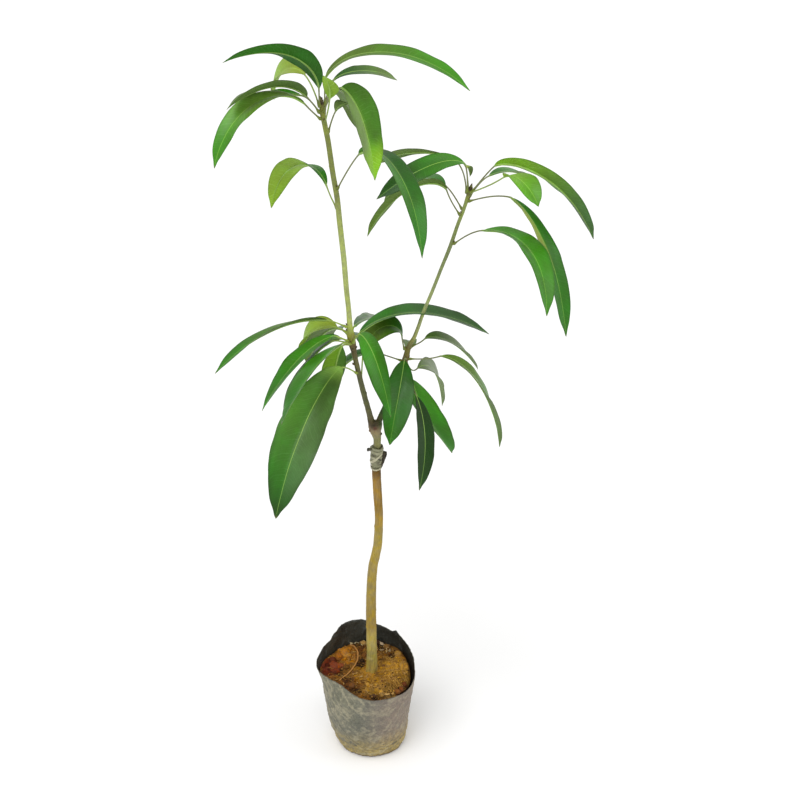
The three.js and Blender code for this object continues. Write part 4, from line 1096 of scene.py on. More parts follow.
SIDE_SCARS = [(568, 200, 0.4, 1.5, 32), (579, 40, 0.4, 1.5, 32), (652, 150, 0.3, 1.1, 30), (700, 300, 0.3, 1.1, 30)]
SIDE_SCARS += leaf_marks(("low", "shoot"), 0.55, 1.5, 36)

finish_piece(limb("leader_bark", with_bud(leader_run, 549.0), 36, MAT_STEM, leader_bump, stem_tint(LEADER_TINT, 91), 1.0), "stem_bark", "leader_stem")
finish_piece(limb("side_bark", with_bud(side_run, 551.0), 32, MAT_STEM, side_bump, stem_tint(SIDE_TINT, 93), 1.0), "stem_bark", "side_stem")


# ---- fork: trunk head and the feet of both stems, blended into one knot
def remeshed(name, pieces, voxel_mm, rounds, material, tint, relief):
    """Joins closed meshes (vertices, quads, tris) into one smooth skin."""
    verts, quads, tris, n = [], [], [], 0
    for v, q, t in pieces:
        verts.append(v)
        quads.append(np.asarray(q) + n if len(q) else np.zeros((0, 4), int))
        tris.append(np.asarray(t) + n if len(t) else np.zeros((0, 3), int))
        n += len(v)
    raw = build("tmp_" + name, np.concatenate(verts), np.concatenate(quads), np.concatenate(tris))
    m = raw.modifiers.new("join", "REMESH")
    m.mode = "VOXEL"
    m.voxel_size = voxel_mm * MM
    s = raw.modifiers.new("soften", "SMOOTH")
    s.factor, s.iterations = 0.5, rounds
    dg = bpy.context.evaluated_depsgraph_get()
    me = bpy.data.meshes.new_from_object(raw.evaluated_get(dg))
    co = np.zeros(len(me.vertices) * 3)
    me.vertices.foreach_get("co", co)
    no = np.zeros(len(me.vertices) * 3)
    me.vertices.foreach_get("normal", no)
    co, no = co.reshape(-1, 3) / MM, no.reshape(-1, 3)
    h = relief(co)
    me.vertices.foreach_set("co", ((co + no * h[:, None]) * MM).astype(np.float32).ravel())
    c = tint(co, None, h)
    a = me.attributes.new("tint", "FLOAT_COLOR", "POINT")
    a.data.foreach_set("color", np.concatenate([c, np.ones((len(c), 1))], 1).astype(np.float32).ravel())
    me.polygons.foreach_set("use_smooth", np.ones(len(me.polygons), bool))
    me.materials.clear()
    me.materials.append(material)
    me.update()
    old = raw.data
    bpy.data.objects.remove(raw)
    bpy.data.meshes.remove(old)
    ob = bpy.data.objects.new(name, me)
    bpy.context.scene.collection.objects.link(ob)
    return ob


def tube_raw(line, sides=28):
    line = np.asarray(line, float)
    P, R = line[:, :3], line[:, 3]
    T, U, V = frames_along(P)
    ang = 2 * np.pi * np.arange(sides) / sides
    out = U[:, None] * np.cos(ang)[None, :, None] + V[:, None] * np.sin(ang)[None, :, None]
    wide = np.ones((len(P), sides))
    if line.shape[1] > 4:
        wide = 1 + (line[:, 4:5] - 1) * np.abs(out[..., 0]) ** 2
    pos = (P[:, None] + out * (R[:, None] * wide)[..., None]).reshape(-1, 3)
    rows = len(P)
    i, j = np.meshgrid(np.arange(rows - 1), np.arange(sides), indexing="ij")
    a, b = (i * sides + j).ravel(), (i * sides + (j + 1) % sides).ravel()
    quads = np.stack([a, b, b + sides, a + sides], -1)
    v = np.vstack([pos, P[0], P[-1]])
    k = np.arange(sides)
    n = rows * sides
    tris = np.vstack([
        np.stack([np.full(sides, n), (k + 1) % sides, k], -1),
        np.stack([np.full(sides, n + 1), (rows - 1) * sides + k, (rows - 1) * sides + (k + 1) % sides], -1),
    ])
    return v, quads, tris


def ball(centre, radii, turn=0.0):
    v, f = ICO2
    p = v * np.asarray(radii, float)
    c, s = math.cos(turn), math.sin(turn)
    p = np.stack([p[:, 0] * c + p[:, 2] * s, p[:, 1], -p[:, 0] * s + p[:, 2] * c], -1)
    return p + np.asarray(centre, float), [], f


head = trunk_run[(trunk_run[:, 2] > 484) & (trunk_run[:, 2] < 525)].copy()
head[:, 3] /= 2
head = np.vstack([head, [8.8, 0.2, 529.0, 4.6, 1.2]])
lead_foot = leader_run[leader_run[:, 2] < 552][:, :4].copy()
lead_foot[:, 3] = lead_foot[:, 3] / 2 + 0.15
lead_foot = np.vstack([[8.6, 0.0, 511.0, 4.2], lead_foot])
side_foot = side_run[side_run[:, 2] < 554][:, :4].copy()
side_foot[:, 3] = side_foot[:, 3] / 2 + 0.1
side_foot = np.vstack([[10.6, 0.0, 512.0, 3.9], side_foot])
knot = [tube_raw(head, 40), tube_raw(lead_foot), tube_raw(side_foot),
        ball((9.6, -4.6, 518.5), (4.6, 2.6, 4.6)), ball((2.7, -1.6, 517.1), (1.4, 2.0, 3.2), 0.4),
        ball((16.4, -1.4, 511.4), (1.6, 1.9, 2.3), -0.6), ball((12.0, 4.2, 516.0), (4.2, 2.8, 5.0)),
        ball((5.2, 4.0, 509.0), (2.4, 2.0, 2.6)), ball((15.0, 3.4, 505.5), (1.7, 2.0, 2.2))]


def knot_relief(p):
    h = 0.22 * ridge(p * np.array([1, 1, 0.4]), 2.4, 3, 101) + 0.25 * fbm(p, 5.0, 3, 103)
    d = p[:, 2] - 531.0 + 0.8 * noise(p / 4.0, 105)
    h += 0.35 * np.exp(-((d / 4.5) ** 2)) * np.cos(2 * np.pi * d / 1.7)
    neck = p[:, 2] - 503.5 + 0.6 * noise(p / 4.0, 106)
    h += 0.30 * np.exp(-((neck / 5.5) ** 2)) * np.cos(2 * np.pi * neck / 2.1)
    edge = smooth(493, 500, p[:, 2]) * smooth(552, 545, p[:, 2])
    return h * edge * 0.8


def knot_tint(p, dist, h):
    base = np.where((p[:, 0] > 12.5)[:, None] & (p[:, 2] > 527)[:, None],
                    SIDE_TINT(p, dist, h), LEADER_TINT(p, dist, h))
    low = by_height([(484, (128, 126, 80)), (503, (138, 136, 90)), (510, (142, 132, 94)), (518, (140, 122, 92)), (524, (104, 88, 60)), (530, (84, 74, 48)), (538, (92, 84, 54)), (545, (98, 96, 62))])(p, dist, h)
    t = smooth(530, 542, p[:, 2])[:, None]
    c = low * (1 - t) + base * t

    def mark(c, x, z, rx, rz, colour, strength, front=True):
        t = np.exp(-(((p[:, 0] - x) / rx) ** 2) - (((p[:, 2] - z) / rz) ** 2))[:, None] * strength
        if front:
            t = t * smooth(1.0, -1.0, p[:, 1])[:, None]
        return c * (1 - t) + lin(colour) * t

    c = mark(c, 7.2, 525.5, 5.0, 3.0, (58, 48, 32), 0.85)
    c = mark(c, 17.2, 526.0, 3.4, 6.0, (52, 78, 30), 0.85, False)
    c = mark(c, 21.0, 534.0, 4.0, 6.0, (52, 80, 32), 0.8, False)
    c = mark(c, 9.2, 521.8, 2.8, 2.4, (90, 44, 28), 0.9)
    c = mark(c, 2.5, 517.0, 1.6, 3.0, (92, 62, 38), 0.8)
    c = mark(c, 16.8, 511.4, 1.6, 2.2, (44, 36, 26), 0.85)
    green = smooth(0.1, 0.6, fbm(p, 7.0, 2, 107))[:, None] * 0.25
    c = c * (1 - green) + lin((112, 112, 80)) * green
    # darker where the relief sinks: painted shade in the knot's grooves
    crack_shade = smooth(-0.05, -0.3, h)[:, None] * 0.5
    return c * (1 - crack_shade * 0.6)


fork = remeshed("fork_knot", knot, 0.42, 5, MAT_STEM, knot_tint, knot_relief)
finish_piece(fork, "stem_bark")


# ---- small buds on the stems, and the scales round the two end buds
def scale_leaf(parts, base, axis, outward, length, width, tint, curl=0.35):
    """A small pointed scale that hugs a bud."""
    rows, cols = 9, 7
    s = np.linspace(0, 1, rows)[:, None]
    x = np.linspace(-1, 1, cols)[None, :]
    across = np.cross(axis, outward)
    w = width / 2 * np.sin(np.pi * np.clip(0.12 + 0.88 * s, 0, 1)) ** 0.8 * (1 - s) ** 0.15
    lift = 0.5 * np.sin(s * np.pi * 0.9) * (1 + curl) - 0.25 * s * length * 0.35
    p = base + axis * (s * length)[..., None] + across * (w * x)[..., None] + outward * (lift - 0.45 * w * x**2)[..., None]
    back = p - outward * (0.16 * (1 - np.abs(x) ** 4) + 0 * s)[..., None]
    loop = np.concatenate([p, back[:, -2:0:-1]], 1)
    col = np.broadcast_to(np.r_[tint, 1.0], loop.shape[:2] + (4,)) * np.array([1, 1, 1, 1])
    # each scale darker at its foot, where it tucks against the bud: painted shade
    shade = (0.8 + 0.4 * s)[..., None] * np.ones((rows, loop.shape[1], 1))
    col = np.concatenate([col[..., :3] * shade, col[..., 3:]], -1)
    first = parts.grid(loop, {"tint": col}, rect=(0.02, 0.02, 0.98, 0.98))
    n = loop.shape[1]
    parts.fan(first + np.arange(n), loop[0].mean(0), {"tint": col[0, 0]}, flip=True)
    parts.fan(first + (rows - 1) * n + np.arange(n), loop[-1].mean(0), {"tint": col[-1, 0]})


buds = Parts()
for line_run, count, tones in ((leader_run, 9, ((70, 58, 38), (112, 116, 58))), (side_run, 8, ((60, 50, 34), (104, 108, 56)))):
    tip, before = line_run[-1], line_run[-5]
    axis = unit(tip[:3] - before[:3])
    for k in range(count):
        bearing = math.radians(137.5 * k + 20)
        outward = np.array([math.cos(bearing), math.sin(bearing), 0.0])
        outward = unit(outward - axis * (outward @ axis))
        up = -3.0 + 0.85 * k
        r = tip[3] / 2 * (1.0 if up < 2 else 0.75)
        tone = lin(tones[k % 2]) * (0.85 + 0.3 * RNG.random())
        scale_leaf(buds, tip[:3] + axis * up + outward * (r - 0.15), unit(axis + outward * 0.12), outward, 5.2 - 0.15 * k, 2.8, tone)
# resting buds in the leaf corners: stem run, height, bearing, size
CORNER = [(leader_run, row[0] + 2.4, row[1], 1.0) for row in LEAVES["crown"][7:11] + LEAVES["tier"][:4] + LEAVES["tier"][5:6]]
CORNER += [(side_run, row[0] + 2.2, row[1], 0.9) for row in LEAVES["low"][:4] + LEAVES["shoot"][2:4] + LEAVES["shoot"][6:7]]
CORNER += [(leader_run, 615.0, 205, 1.4), (leader_run, 636.0, 262, 1.3), (leader_run, 639.0, 330, 1.3), (leader_run, 637.0, 100, 1.3), (side_run, 588.0, 250, 1.0)]
for line_run, h, a, size in CORNER:
    x, y, z, d = at_height(line_run, np.array([h]))[0][:4]
    outward = np.array([math.cos(rad(a)), math.sin(rad(a)), 0.0])
    axis = unit(outward * 0.75 + np.array([0, 0, 1.0]))
    base = np.array([x, y, z]) + outward * (d / 2 - 0.2)
    for k in range(3):
        turn = rad(a + (k - 1) * 55)
        o = np.array([math.cos(turn), math.sin(turn), 0.0])
        o = unit(o - axis * (o @ axis))
        scale_leaf(buds, base + o * 0.55 * size, axis, o, 3.2 * size, 2.2 * size, lin((96, 82, 50)) * (0.8 + 0.4 * RNG.random()), 0.2)
finish_piece(buds.make("stem_buds", MAT_STEM, {"tint": "FLOAT_COLOR"}), "stem_bark")


# ----------------------------------------------------------- graft tape and heel
def graft_tape():
    """Film wound round the graft in slanting turns, drawn tight, with a knot on top and a loose end below."""
    rows, cols = 110, 120
    zs = np.linspace(460.2, 491.4, rows)
    ang = 2 * np.pi * np.arange(cols) / cols
    c = at_height(trunk_run, zs)
    wall = np.interp(zs, [t[0] for t in TAPE], [t[1] for t in TAPE])
    A, Z = np.meshgrid(ang, zs)
    cx, cy = c[:, 0][:, None], c[:, 1][:, None]
    r0 = (c[:, 3] / 2 + 0.45 + wall)[:, None]
    p = np.stack([cx + r0 * np.cos(A), cy + r0 * np.sin(A), Z], -1).reshape(-1, 3)
    # turns of film: each edge is a step that climbs round the stem
    turn = Z / 6.2 + A / (2 * np.pi) + 0.10 * np.sin(2 * A + 1.0) + (0.10 * fbm(p, 8.0, 2, 111)).reshape(A.shape)
    f = turn - np.floor(turn)
    step = 0.85 * (1 - smooth(0.0, 0.10, f)) * smooth(-0.02, 0.0, f) + 0.55 * f**1.5
    cross = (Z / 8.0 - A / (2 * np.pi) * 1.0 + 0.3)
    g = np.abs(cross - np.floor(cross) - 0.5)
    crease = np.exp(-((g / 0.045) ** 2))
    lumps = (fbm(p, 7.0, 3, 113) * 0.9).reshape(A.shape)
    pulls = (ridge(p * np.array([1, 1, 1.6]), 3.2, 3, 115) * 0.30).reshape(A.shape)
    end = smooth(459.8, 462.2, Z) * smooth(492.0, 489.5, Z)
    h = (step - 0.45 + 0.45 * crease * 0.8 + lumps + pulls) * (0.35 + 0.65 * end) - 0.35
    bottom = (1 - smooth(460.2, 462.4, Z)) * 0.5 * np.sin(3 * A + 0.6)
    r = r0 + h + bottom
    # the fold mark also dips along each turn's step: painted shade where one turn laps over the next
    fold = (np.clip((h + 0.35) * 1.1, -1, 1)) - 0.75 * np.exp(-((f - 0.0) / 0.03) ** 2)
    # painted shadow under the slanting fold: the fold mark sinks there so the film turns dark
    side_x = cx + r * np.cos(A)
    fold = fold - 1.15 * np.exp(-(((side_x - 13.4) / 3.8) ** 2) - (((Z - 474.0) / 5.2) ** 2)) * (np.sin(A) < 0.1)
    outer = np.stack([cx + r * np.cos(A), cy + r * np.sin(A), Z + 0.7 * np.sin(2 * A) * (1 - end)], -1)
    ri = (c[:, 3] / 2 + 0.15)[:, None] + 0 * A
    inner = np.stack([cx + ri * np.cos(A), cy + ri * np.sin(A), Z + 0.7 * np.sin(2 * A) * (1 - end)], -1)
    loop = np.concatenate([outer, inner[[-1, 0]]], 0)
    fv = np.concatenate([fold, -0.9 * np.ones((2, cols))], 0)
    parts = Parts()
    first = parts.grid(loop, {"fold": fv[..., None]}, rect=(0.01, 0.01, 0.9, 0.6))
    # close the inner row to the outer first row
    j = np.arange(cols)
    last = first + (len(loop) - 1) * cols
    q = np.stack([last + j, last + (j + 1) % cols, first + (j + 1) % cols, first + j], -1)
    parts.q.append(q)
    parts.uq.append(np.tile((0.95, 0.3), (len(q) * 4, 1)))

    def band(points, wide, thick, tone, rect, lean=None):
        """A loose strip of film along points."""
        line, dist = resample(np.asarray(points, float), 0.5)
        T, U, V = frames_along(line)
        up = np.array([0, 0, 1.0]) if lean is None else unit(np.asarray(lean, float))
        across = unit(up - T * (T @ up)[:, None])
        nrm = np.cross(T, across)
        n = 8
        x = np.linspace(-1, 1, n)
        w = wide / 2 * (1 + 0.18 * noise(np.stack([dist / 3, 0 * dist, 0 * dist], -1), 7))[:, None]
        curl = 0.5 * (x**2)[None, :] * wide * 0.12
        wig = 0.25 * noise(np.stack([dist / 2.2, 0 * dist + 3, 0 * dist], -1), 9)[:, None] * x[None, :]
        top = line[:, None] + across[:, None] * (w * x)[..., None] + nrm[:, None] * (curl + wig + thick / 2)[..., None]
        low = line[:, None] + across[:, None] * (w * x)[..., None] + nrm[:, None] * (curl + wig - thick / 2)[..., None]
        ring = np.concatenate([top, low[:, ::-1]], 1)
        f0 = parts.grid(ring[:, ::-1], {"fold": np.full(ring.shape[:2] + (1,), tone)}, rect=rect)
        k = ring.shape[1]
        parts.fan(f0 + np.arange(k), ring[0].mean(0), {"fold": [tone]}, flip=True)
        parts.fan(f0 + (len(ring) - 1) * k + np.arange(k), ring[-1].mean(0), {"fold": [tone]})

    x0, y0, _, d0 = at_height(trunk_run, np.array([461.0]))[0][:4]
    rr = d0 / 2 + 2.0
    ring_pts = [(x0 + (rr + 0.7 * math.sin(3 * t)) * math.cos(t), y0 + (rr + 0.4 * math.sin(3 * t)) * math.sin(t), 463.4 + 2.6 * math.sin(t + 0.5) + 0.8 * math.cos(2 * t))
                for t in np.radians(np.arange(168, 396, 6))]
    band(ring_pts, 2.3, 0.4, 1.0, (0.01, 0.64, 0.5, 0.72), lean=(0.1, -0.6, 1))
    strand = [(x0 + (rr - 0.3) * math.cos(t), y0 + (rr - 0.3) * math.sin(t), 460.9 + 1.8 * math.sin(t + 0.9) - 0.9 * math.cos(t)) for t in np.radians(np.arange(196, 372, 6))]
    band(strand, 1.0, 0.35, 0.95, (0.52, 0.82, 0.98, 0.88), lean=(0.1, -0.4, 1))
    flap = [(x0 - 4.0, y0 - 3.6, 468.3), (x0 - 5.5, y0 - 4.6, 467.1), (x0 - 6.7, y0 - 5.0, 465.2), (x0 - 7.2, y0 - 4.8, 463.0), (x0 - 7.0, y0 - 4.2, 460.8)]
    band(flap, 3.0, 0.25, 0.85, (0.01, 0.74, 0.5, 0.8), lean=(0.2, -1, 0.3))
    x1, y1, _, d1 = at_height(trunk_run, np.array([487.0]))[0][:4]
    rr = d1 / 2 + 3.3
    top_pts = [(x1 + rr * math.cos(t), y1 + rr * math.sin(t), 487.0 + 1.6 * math.sin(t - 0.5)) for t in np.radians(np.arange(150, 430, 8))]
    band(top_pts, 3.4, 0.3, 0.35, (0.01, 0.82, 0.5, 0.9))
    x2, y2, _, d2 = at_height(trunk_run, np.array([477.0]))[0][:4]
    rr = d2 / 2 + 3.0
    mid_pts = [(x2 + rr * math.cos(t), y2 + rr * math.sin(t), 477.0 + 7.4 * math.cos(t)) for t in np.radians(np.arange(170, 372, 6))]
    band(mid_pts, 2.8, 0.35, 0.8, (0.52, 0.64, 0.98, 0.72))
    low_pts = [(x2 + (rr - 0.7) * math.cos(t), y2 + (rr - 0.7) * math.sin(t), 472.4 + 4.0 * math.cos(t + 2.4)) for t in np.radians(np.arange(175, 365, 6))]
    band(low_pts, 1.8, 0.3, 0.1, (0.52, 0.74, 0.98, 0.8))
    # knot, and the dark ends of the film tucked in on the right
    for centre, radii, tone in (((0.9, -2.6, 488.6), (3.0, 2.3, 2.2), -1.0), ((3.0, -4.4, 490.2), (2.4, 1.9, 1.5), -0.8),
                                ((-0.4, -0.8, 486.4), (1.5, 1.7, 1.9), -1.0), ((16.4, -3.0, 488.2), (1.3, 1.3, 1.5), -0.95)):
        v, f = ICO3
        q = v * np.asarray(radii)
        q = q * (1 + 0.22 * fbm(q + 5 * tone, 1.6, 3, 117))[:, None] + np.asarray(centre)
        parts.lump(q, f, {"fold": np.full((len(q), 1), tone)})
    return parts.make("graft_wrap", MAT_TAPE, {"fold": "FLOAT"})


finish_piece(graft_tape(), "graft_tape", "graft_tape")


def prism(points, y0, y1, waist):
    """Closed prism of an outline in X and Z, thinner at its first and last points."""
    n = len(points)
    v = []
    for side, y in ((0, y0), (1, y1)):
        for k, (x, z) in enumerate(points):
            v.append((x, (y0 + y1) / 2 + (y - (y0 + y1) / 2) * waist[k], z))
    tris = []
    for k in range(1, n - 1):
        tris += [(0, k, k + 1), (n, n + k + 1, n + k)]
    quads = [(k, n + k, n + (k + 1) % n, (k + 1) % n) for k in range(n)]
    return np.array(v, float), np.array(quads), np.array(tris)


hx = at_height(trunk_run, np.array([471.5]))[0]
heel_line = [(hx[0] + 5.5, 462.5), (hx[0] + 7.9, 463.2), (hx[0] + 13.7, 480.4), (hx[0] + 13.2, 482.6), (hx[0] + 8.5, 483.6), (hx[0] + 5.5, 483.0)]


def heel_relief(p):
    return 0.35 * ridge(p * np.array([1, 1, 0.5]), 2.2, 3, 121) + 0.25 * fbm(p, 4.0, 3, 123)


def heel_tint(p, dist, h):
    c = np.tile(lin((62, 60, 50)), (len(p), 1))
    dark = smooth(hx[0] + 10.5, hx[0] + 13.0, p[:, 0])[:, None]
    c = c * (1 - dark) + lin((24, 22, 18)) * dark
    pale = np.exp(-(((p[:, 0] - hx[0] - 8.6) / 1.2) ** 2) - (((p[:, 2] - 476.0) / 2.6) ** 2))[:, None] * 0.7
    c = c * (1 - pale) + lin((136, 130, 104)) * pale
    # raised wood lighter and hollows darker by the relief: painted light and shade
    return c * (1 + 0.4 * np.clip(h, -1, 1))[:, None]


heel = remeshed("graft_heel_wood", [prism(heel_line, -3.6, 3.6, (0.9, 1, 0.75, 0.7, 0.9, 1.0))], 0.4, 6, MAT_HEEL, heel_tint, heel_relief)
finish_piece(heel, "cut_wood", "graft_heel")


# ----------------------------------------------------------------------- bag
def waves(table, a):
    return sum(c * np.cos(k * a) + s * np.sin(k * a) for k, c, s in table)


def lip_height(a):
    return LIP_HEIGHT + waves(LIP_UP, a)


def lip_radius(a):
    return LIP_RADIUS + waves(LIP_OUT, a)


def wall(a, z):
    """Radius and X shift of the bag's outer face."""
    hs = np.array([r[0] for r in BAG_RINGS], float)
    top = lip_height(a)
    radius = np.interp(z, hs, [r[1] for r in BAG_RINGS])
    shift = np.interp(z, hs, [r[2] for r in BAG_RINGS])
    over = np.clip((z - 110) / (top - 110), 0, 1.02)
    radius = np.where(z > 110, mix(65.0, lip_radius(a), over), radius)
    shift = np.where(z > 110, mix(-3.8, LIP_SHIFT, over), shift)
    # the foot is pressed a little flat in front
    radius = radius * (1 - 0.13 * np.maximum(0, -np.sin(a)) ** 2 * (1 - smooth(2, 42, z)))
    return radius, shift


def crumple(a, z):
    """(relief in mm, fold mark from -1 groove to 1 edge) of the film at an angle and a height."""
    radius, shift = wall(a, z)
    p = np.stack([radius * np.cos(a), radius * np.sin(a), z], -1)
    free = smooth(122, 136, z)  # above the soil the film hangs free
    h = 0.9 * fbm(p, 34.0, 3, 131) + 0.45 * fbm(p, 13.0, 3, 133)
    # slanting pulls, strongest on the left
    left = smooth(0.15, 0.95, np.cos(a - math.radians(205)))
    slant = np.stack([a * 58 + z * 0.85, z * 0.10 - a * 6, 0 * a], -1)
    pulls = ridge(slant, 11.0, 3, 135)
    h += (0.35 + 0.65 * left) * 1.0 * pulls * smooth(128, 100, z)
    slant2 = np.stack([a * 58 - z * 0.7, z * 0.12 + a * 7, 0 * a + 9], -1)
    pulls2 = ridge(slant2, 13.0, 3, 137)
    h += 0.62 * pulls2 * smooth(128, 90, z)
    # gathers round the foot
    foot = np.exp(-np.maximum(z - 2, 0) / 11.0)
    gather = ridge(np.stack([a * 46, z * 0.25, 0 * a], -1), 9.0, 2, 139)
    h += foot * 1.1 * gather
    # a level slump fold low on the right and one on the left
    for z0, a0, up, tall, wide in ((12.0, 0, 1.5, 3.0, 34), (26.0, -70, 0.7, 2.4, 60), (34.0, 185, 0.8, 2.6, 40), (58.0, 200, 0.7, 2.4, 34), (88.0, -20, 0.6, 3.0, 40), (44.0, 60, 0.8, 3.0, 60), (70.0, 120, 0.7, 3.0, 50),
                               (9.0, 268, 1.3, 2.2, 34), (17.5, 300, 1.1, 2.4, 40), (25.0, 244, 1.0, 2.4, 44), (34.0, 285, 0.7, 2.6, 40)):
        turn = (a - math.radians(a0) + np.pi) % (2 * np.pi) - np.pi
        zz = z - z0 - 5.0 * np.sin(turn * 1.3)
        h += up * np.exp(-((zz / tall) ** 2) - ((turn / math.radians(wide)) ** 2)) - 0.5 * up * np.exp(-(((zz - 2.2 * tall) / tall) ** 2) - ((turn / math.radians(wide)) ** 2))
    # a net of small sharp creases, wandering
    warp = 0.28 * fbm(p, 30.0, 2, 149)
    net = ridge(np.stack([(a + warp) * 58 + z * 0.45, z * 0.62 - (a + warp) * 18, 0 * a + 3], -1), 9.0, 3, 155)
    h += 0.62 * np.sign(net) * np.abs(net) ** 1.3
    fine = fbm(p, 4.2, 3, 141) * 0.34 + ridge(p, 6.0, 2, 143) * 0.24
    h += fine
    h += free * (0.9 * fbm(p, 17.0, 2, 145) + 0.5 * ridge(p * np.array([1, 1, 0.4]), 12.0, 2, 147))
    mark = np.clip(0.55 * pulls * (0.3 + 0.7 * left) + 0.55 * net + 0.4 * pulls2 + 0.5 * foot * gather + fine * 1.2, -1, 1)
    low = 1 - smooth(30, 44, z)
    mark = np.clip(mark * (1 - 0.6 * low) + low * np.clip(h - 1.1, -1, 1.2), -1, 1)
    return h, mark


def lip_detail(a):
    """A nick and a small step on the back left, a turned-up lobe on the back right."""
    out = 0.0
    for at, wide, up in ((146, 5.0, -3.6), (132, 9.0, 2.6), (55, 4.2, 3.0), (64, 5.0, -1.4), (34, 6.0, -0.8), (200, 9.0, 1.0), (250, 12.0, -0.8)):
        turn = (a - math.radians(at) + np.pi) % (2 * np.pi) - np.pi
        out = out + up * np.exp(-((turn / math.radians(wide)) ** 2))
    return out


def film_point(a, z, inset):
    radius, shift = wall(a, z)
    h, mark = crumple(a, z)
    r = radius + h - inset
    return np.stack([shift + r * np.cos(a), r * np.sin(a), z], -1), mark


FILM = 0.6
AROUND = 330
turn_a = 2 * np.pi * np.arange(AROUND) / AROUND
p_rim = np.stack([66 * np.cos(turn_a), 66 * np.sin(turn_a), 0 * turn_a], -1)
rim = lip_height(turn_a) + lip_detail(turn_a) + 1.0 * fbm(p_rim, 9.0, 3, 151) + 0.5 * ridge(p_rim, 4.0, 2, 153)
wall_rows = 118
share = np.linspace(0, 1, wall_rows)[:, None]
A = np.broadcast_to(turn_a[None, :], (wall_rows, AROUND))
Zo = 3.2 + (rim[None, :] - 3.2) * share
outer, mark_o = film_point(A.ravel(), Zo.ravel(), 0.35)
outer, mark_o = outer.reshape(wall_rows, AROUND, 3), mark_o.reshape(wall_rows, AROUND)
# rounded foot and flat base, gathered towards the middle
foot_rows = []
for k, (r, z) in enumerate(((4.0, 0.15), (14.0, 0.12), (26.0, 0.1), (36.0, 0.05), (41.5, 0.0), (44.6, 0.9), (46.2, 2.0))):
    base_r = np.full(AROUND, float(r))
    ho, _ = crumple(turn_a, np.full(AROUND, 3.2))
    k_r = smooth(30, 46, base_r)
    rr = (base_r + ho * k_r) * (1 - 0.13 * np.maximum(0, -np.sin(turn_a)) ** 2)
    lift = np.abs(noise(np.stack([turn_a * 9, base_r / 9, 0 * turn_a], -1), 157)) * 0.35 * (z < 0.5) * (r < 40)
    foot_rows.append(np.stack([-0.4 + rr * np.cos(turn_a), rr * np.sin(turn_a), np.full(AROUND, z) + lift], -1))
foot_rows = np.array(foot_rows)
inner_rows = 34
share = np.linspace(1, 0, inner_rows)[:, None]
Zi = 118.0 + (rim[None, :] - 0.15 - 118.0) * share
Ai = np.broadcast_to(turn_a[None, :], (inner_rows, AROUND))
inner, _ = film_point(Ai.ravel(), Zi.ravel(), 0.35 + FILM)
inner = inner.reshape(inner_rows, AROUND, 3)
deep = []
for z, inset in ((112.0, 1.6), (90.0, 3.2), (60.0, 3.2), (30.0, 3.2), (10.0, 4.0)):
    deep.append(film_point(turn_a, np.full(AROUND, z), 0.35 + FILM + inset)[0])
deep.append(np.stack([-0.6 + 34 * np.cos(turn_a), 34 * np.sin(turn_a), np.full(AROUND, 1.4)], -1))
deep = np.array(deep)
mid_rim = (outer[-1] + inner[0]) / 2 + np.array([0, 0, 0.22])
all_rows = np.concatenate([foot_rows, outer, mid_rim[None], inner, deep], 0)
flag = np.concatenate([np.zeros((len(foot_rows), AROUND)), np.zeros((wall_rows, AROUND)), np.full((1, AROUND), 2.0), np.ones((inner_rows + len(deep), AROUND))])
flag[len(foot_rows) + wall_rows - 1] = 1.0 * 0 + 2.0
bg = np.stack([all_rows[..., 2], np.broadcast_to(turn_a[None, :], flag.shape), flag], -1)
fold_v = np.zeros(flag.shape)
fold_v[len(foot_rows):len(foot_rows) + wall_rows] = mark_o
# right-front mask for the warmer tint, which is partly painted light
warm_lit_v = np.broadcast_to(smooth(0.2, 1.0, np.cos(turn_a - math.radians(-25)))[None, :], flag.shape)
sage_v = np.broadcast_to(smooth(0.1, 1.0, np.cos(turn_a - math.radians(205)))[None, :], flag.shape)
bag = Parts()
first = bag.grid(all_rows, {"bg": bg, "fold": fold_v[..., None], "warm_lit": warm_lit_v[..., None], "sage": sage_v[..., None]}, rect=(0.0, 0.0, 1.0, 1.0))
bag.fan(first + np.arange(AROUND), (-0.4, 0, 0.15), {"bg": [0, 0, 0], "fold": [0], "warm_lit": [0], "sage": [0]}, flip=True, place=(0.0, 0.5))
bag.fan(first + (len(all_rows) - 1) * AROUND + np.arange(AROUND), (-0.6, 0, 1.4), {"bg": [1, 0, 1], "fold": [0], "warm_lit": [0], "sage": [0]}, place=(1.0, 0.5))
finish_piece(bag.make("nursery_bag", MAT_BAG, {"bg": "FLOAT_VECTOR", "fold": "FLOAT", "warm_lit": "FLOAT", "sage": "FLOAT"}), "bag_film", "bag")


# ---------------------------------------------------------------------- soil
def soil_edge(a):
    return np.minimum(SOIL_LEVEL + 0.6 * np.sin(3 * a), lip_height(a) - 4.5)


def crevice(a):
    """How far the soil has shrunk from the film, widest along the right side, mm."""
    turn = (a - math.radians(12) + np.pi) % (2 * np.pi) - np.pi
    back = (a - math.radians(150) + np.pi) % (2 * np.pi) - np.pi
    return 6.6 * np.exp(-((turn / math.radians(40)) ** 2)) + 1.6 * np.exp(-((back / math.radians(30)) ** 2))


HOLLOWS = [(-14, 15, 7, 9, 3.4), (11, 50, 8, 7, 3.2), (30, 31, 8, 7, 3.0), (-21, -48, 9, 6, 2.8), (5, -55, 8, 4.5, 2.4),
           (45, -33, 9, 8, 2.0), (-33, -22, 8, 7, 1.8), (16, 20, 5, 5, 1.8), (-20, 58, 8, 5, 2.4), (-46, -4, 5, 12, 1.8)]


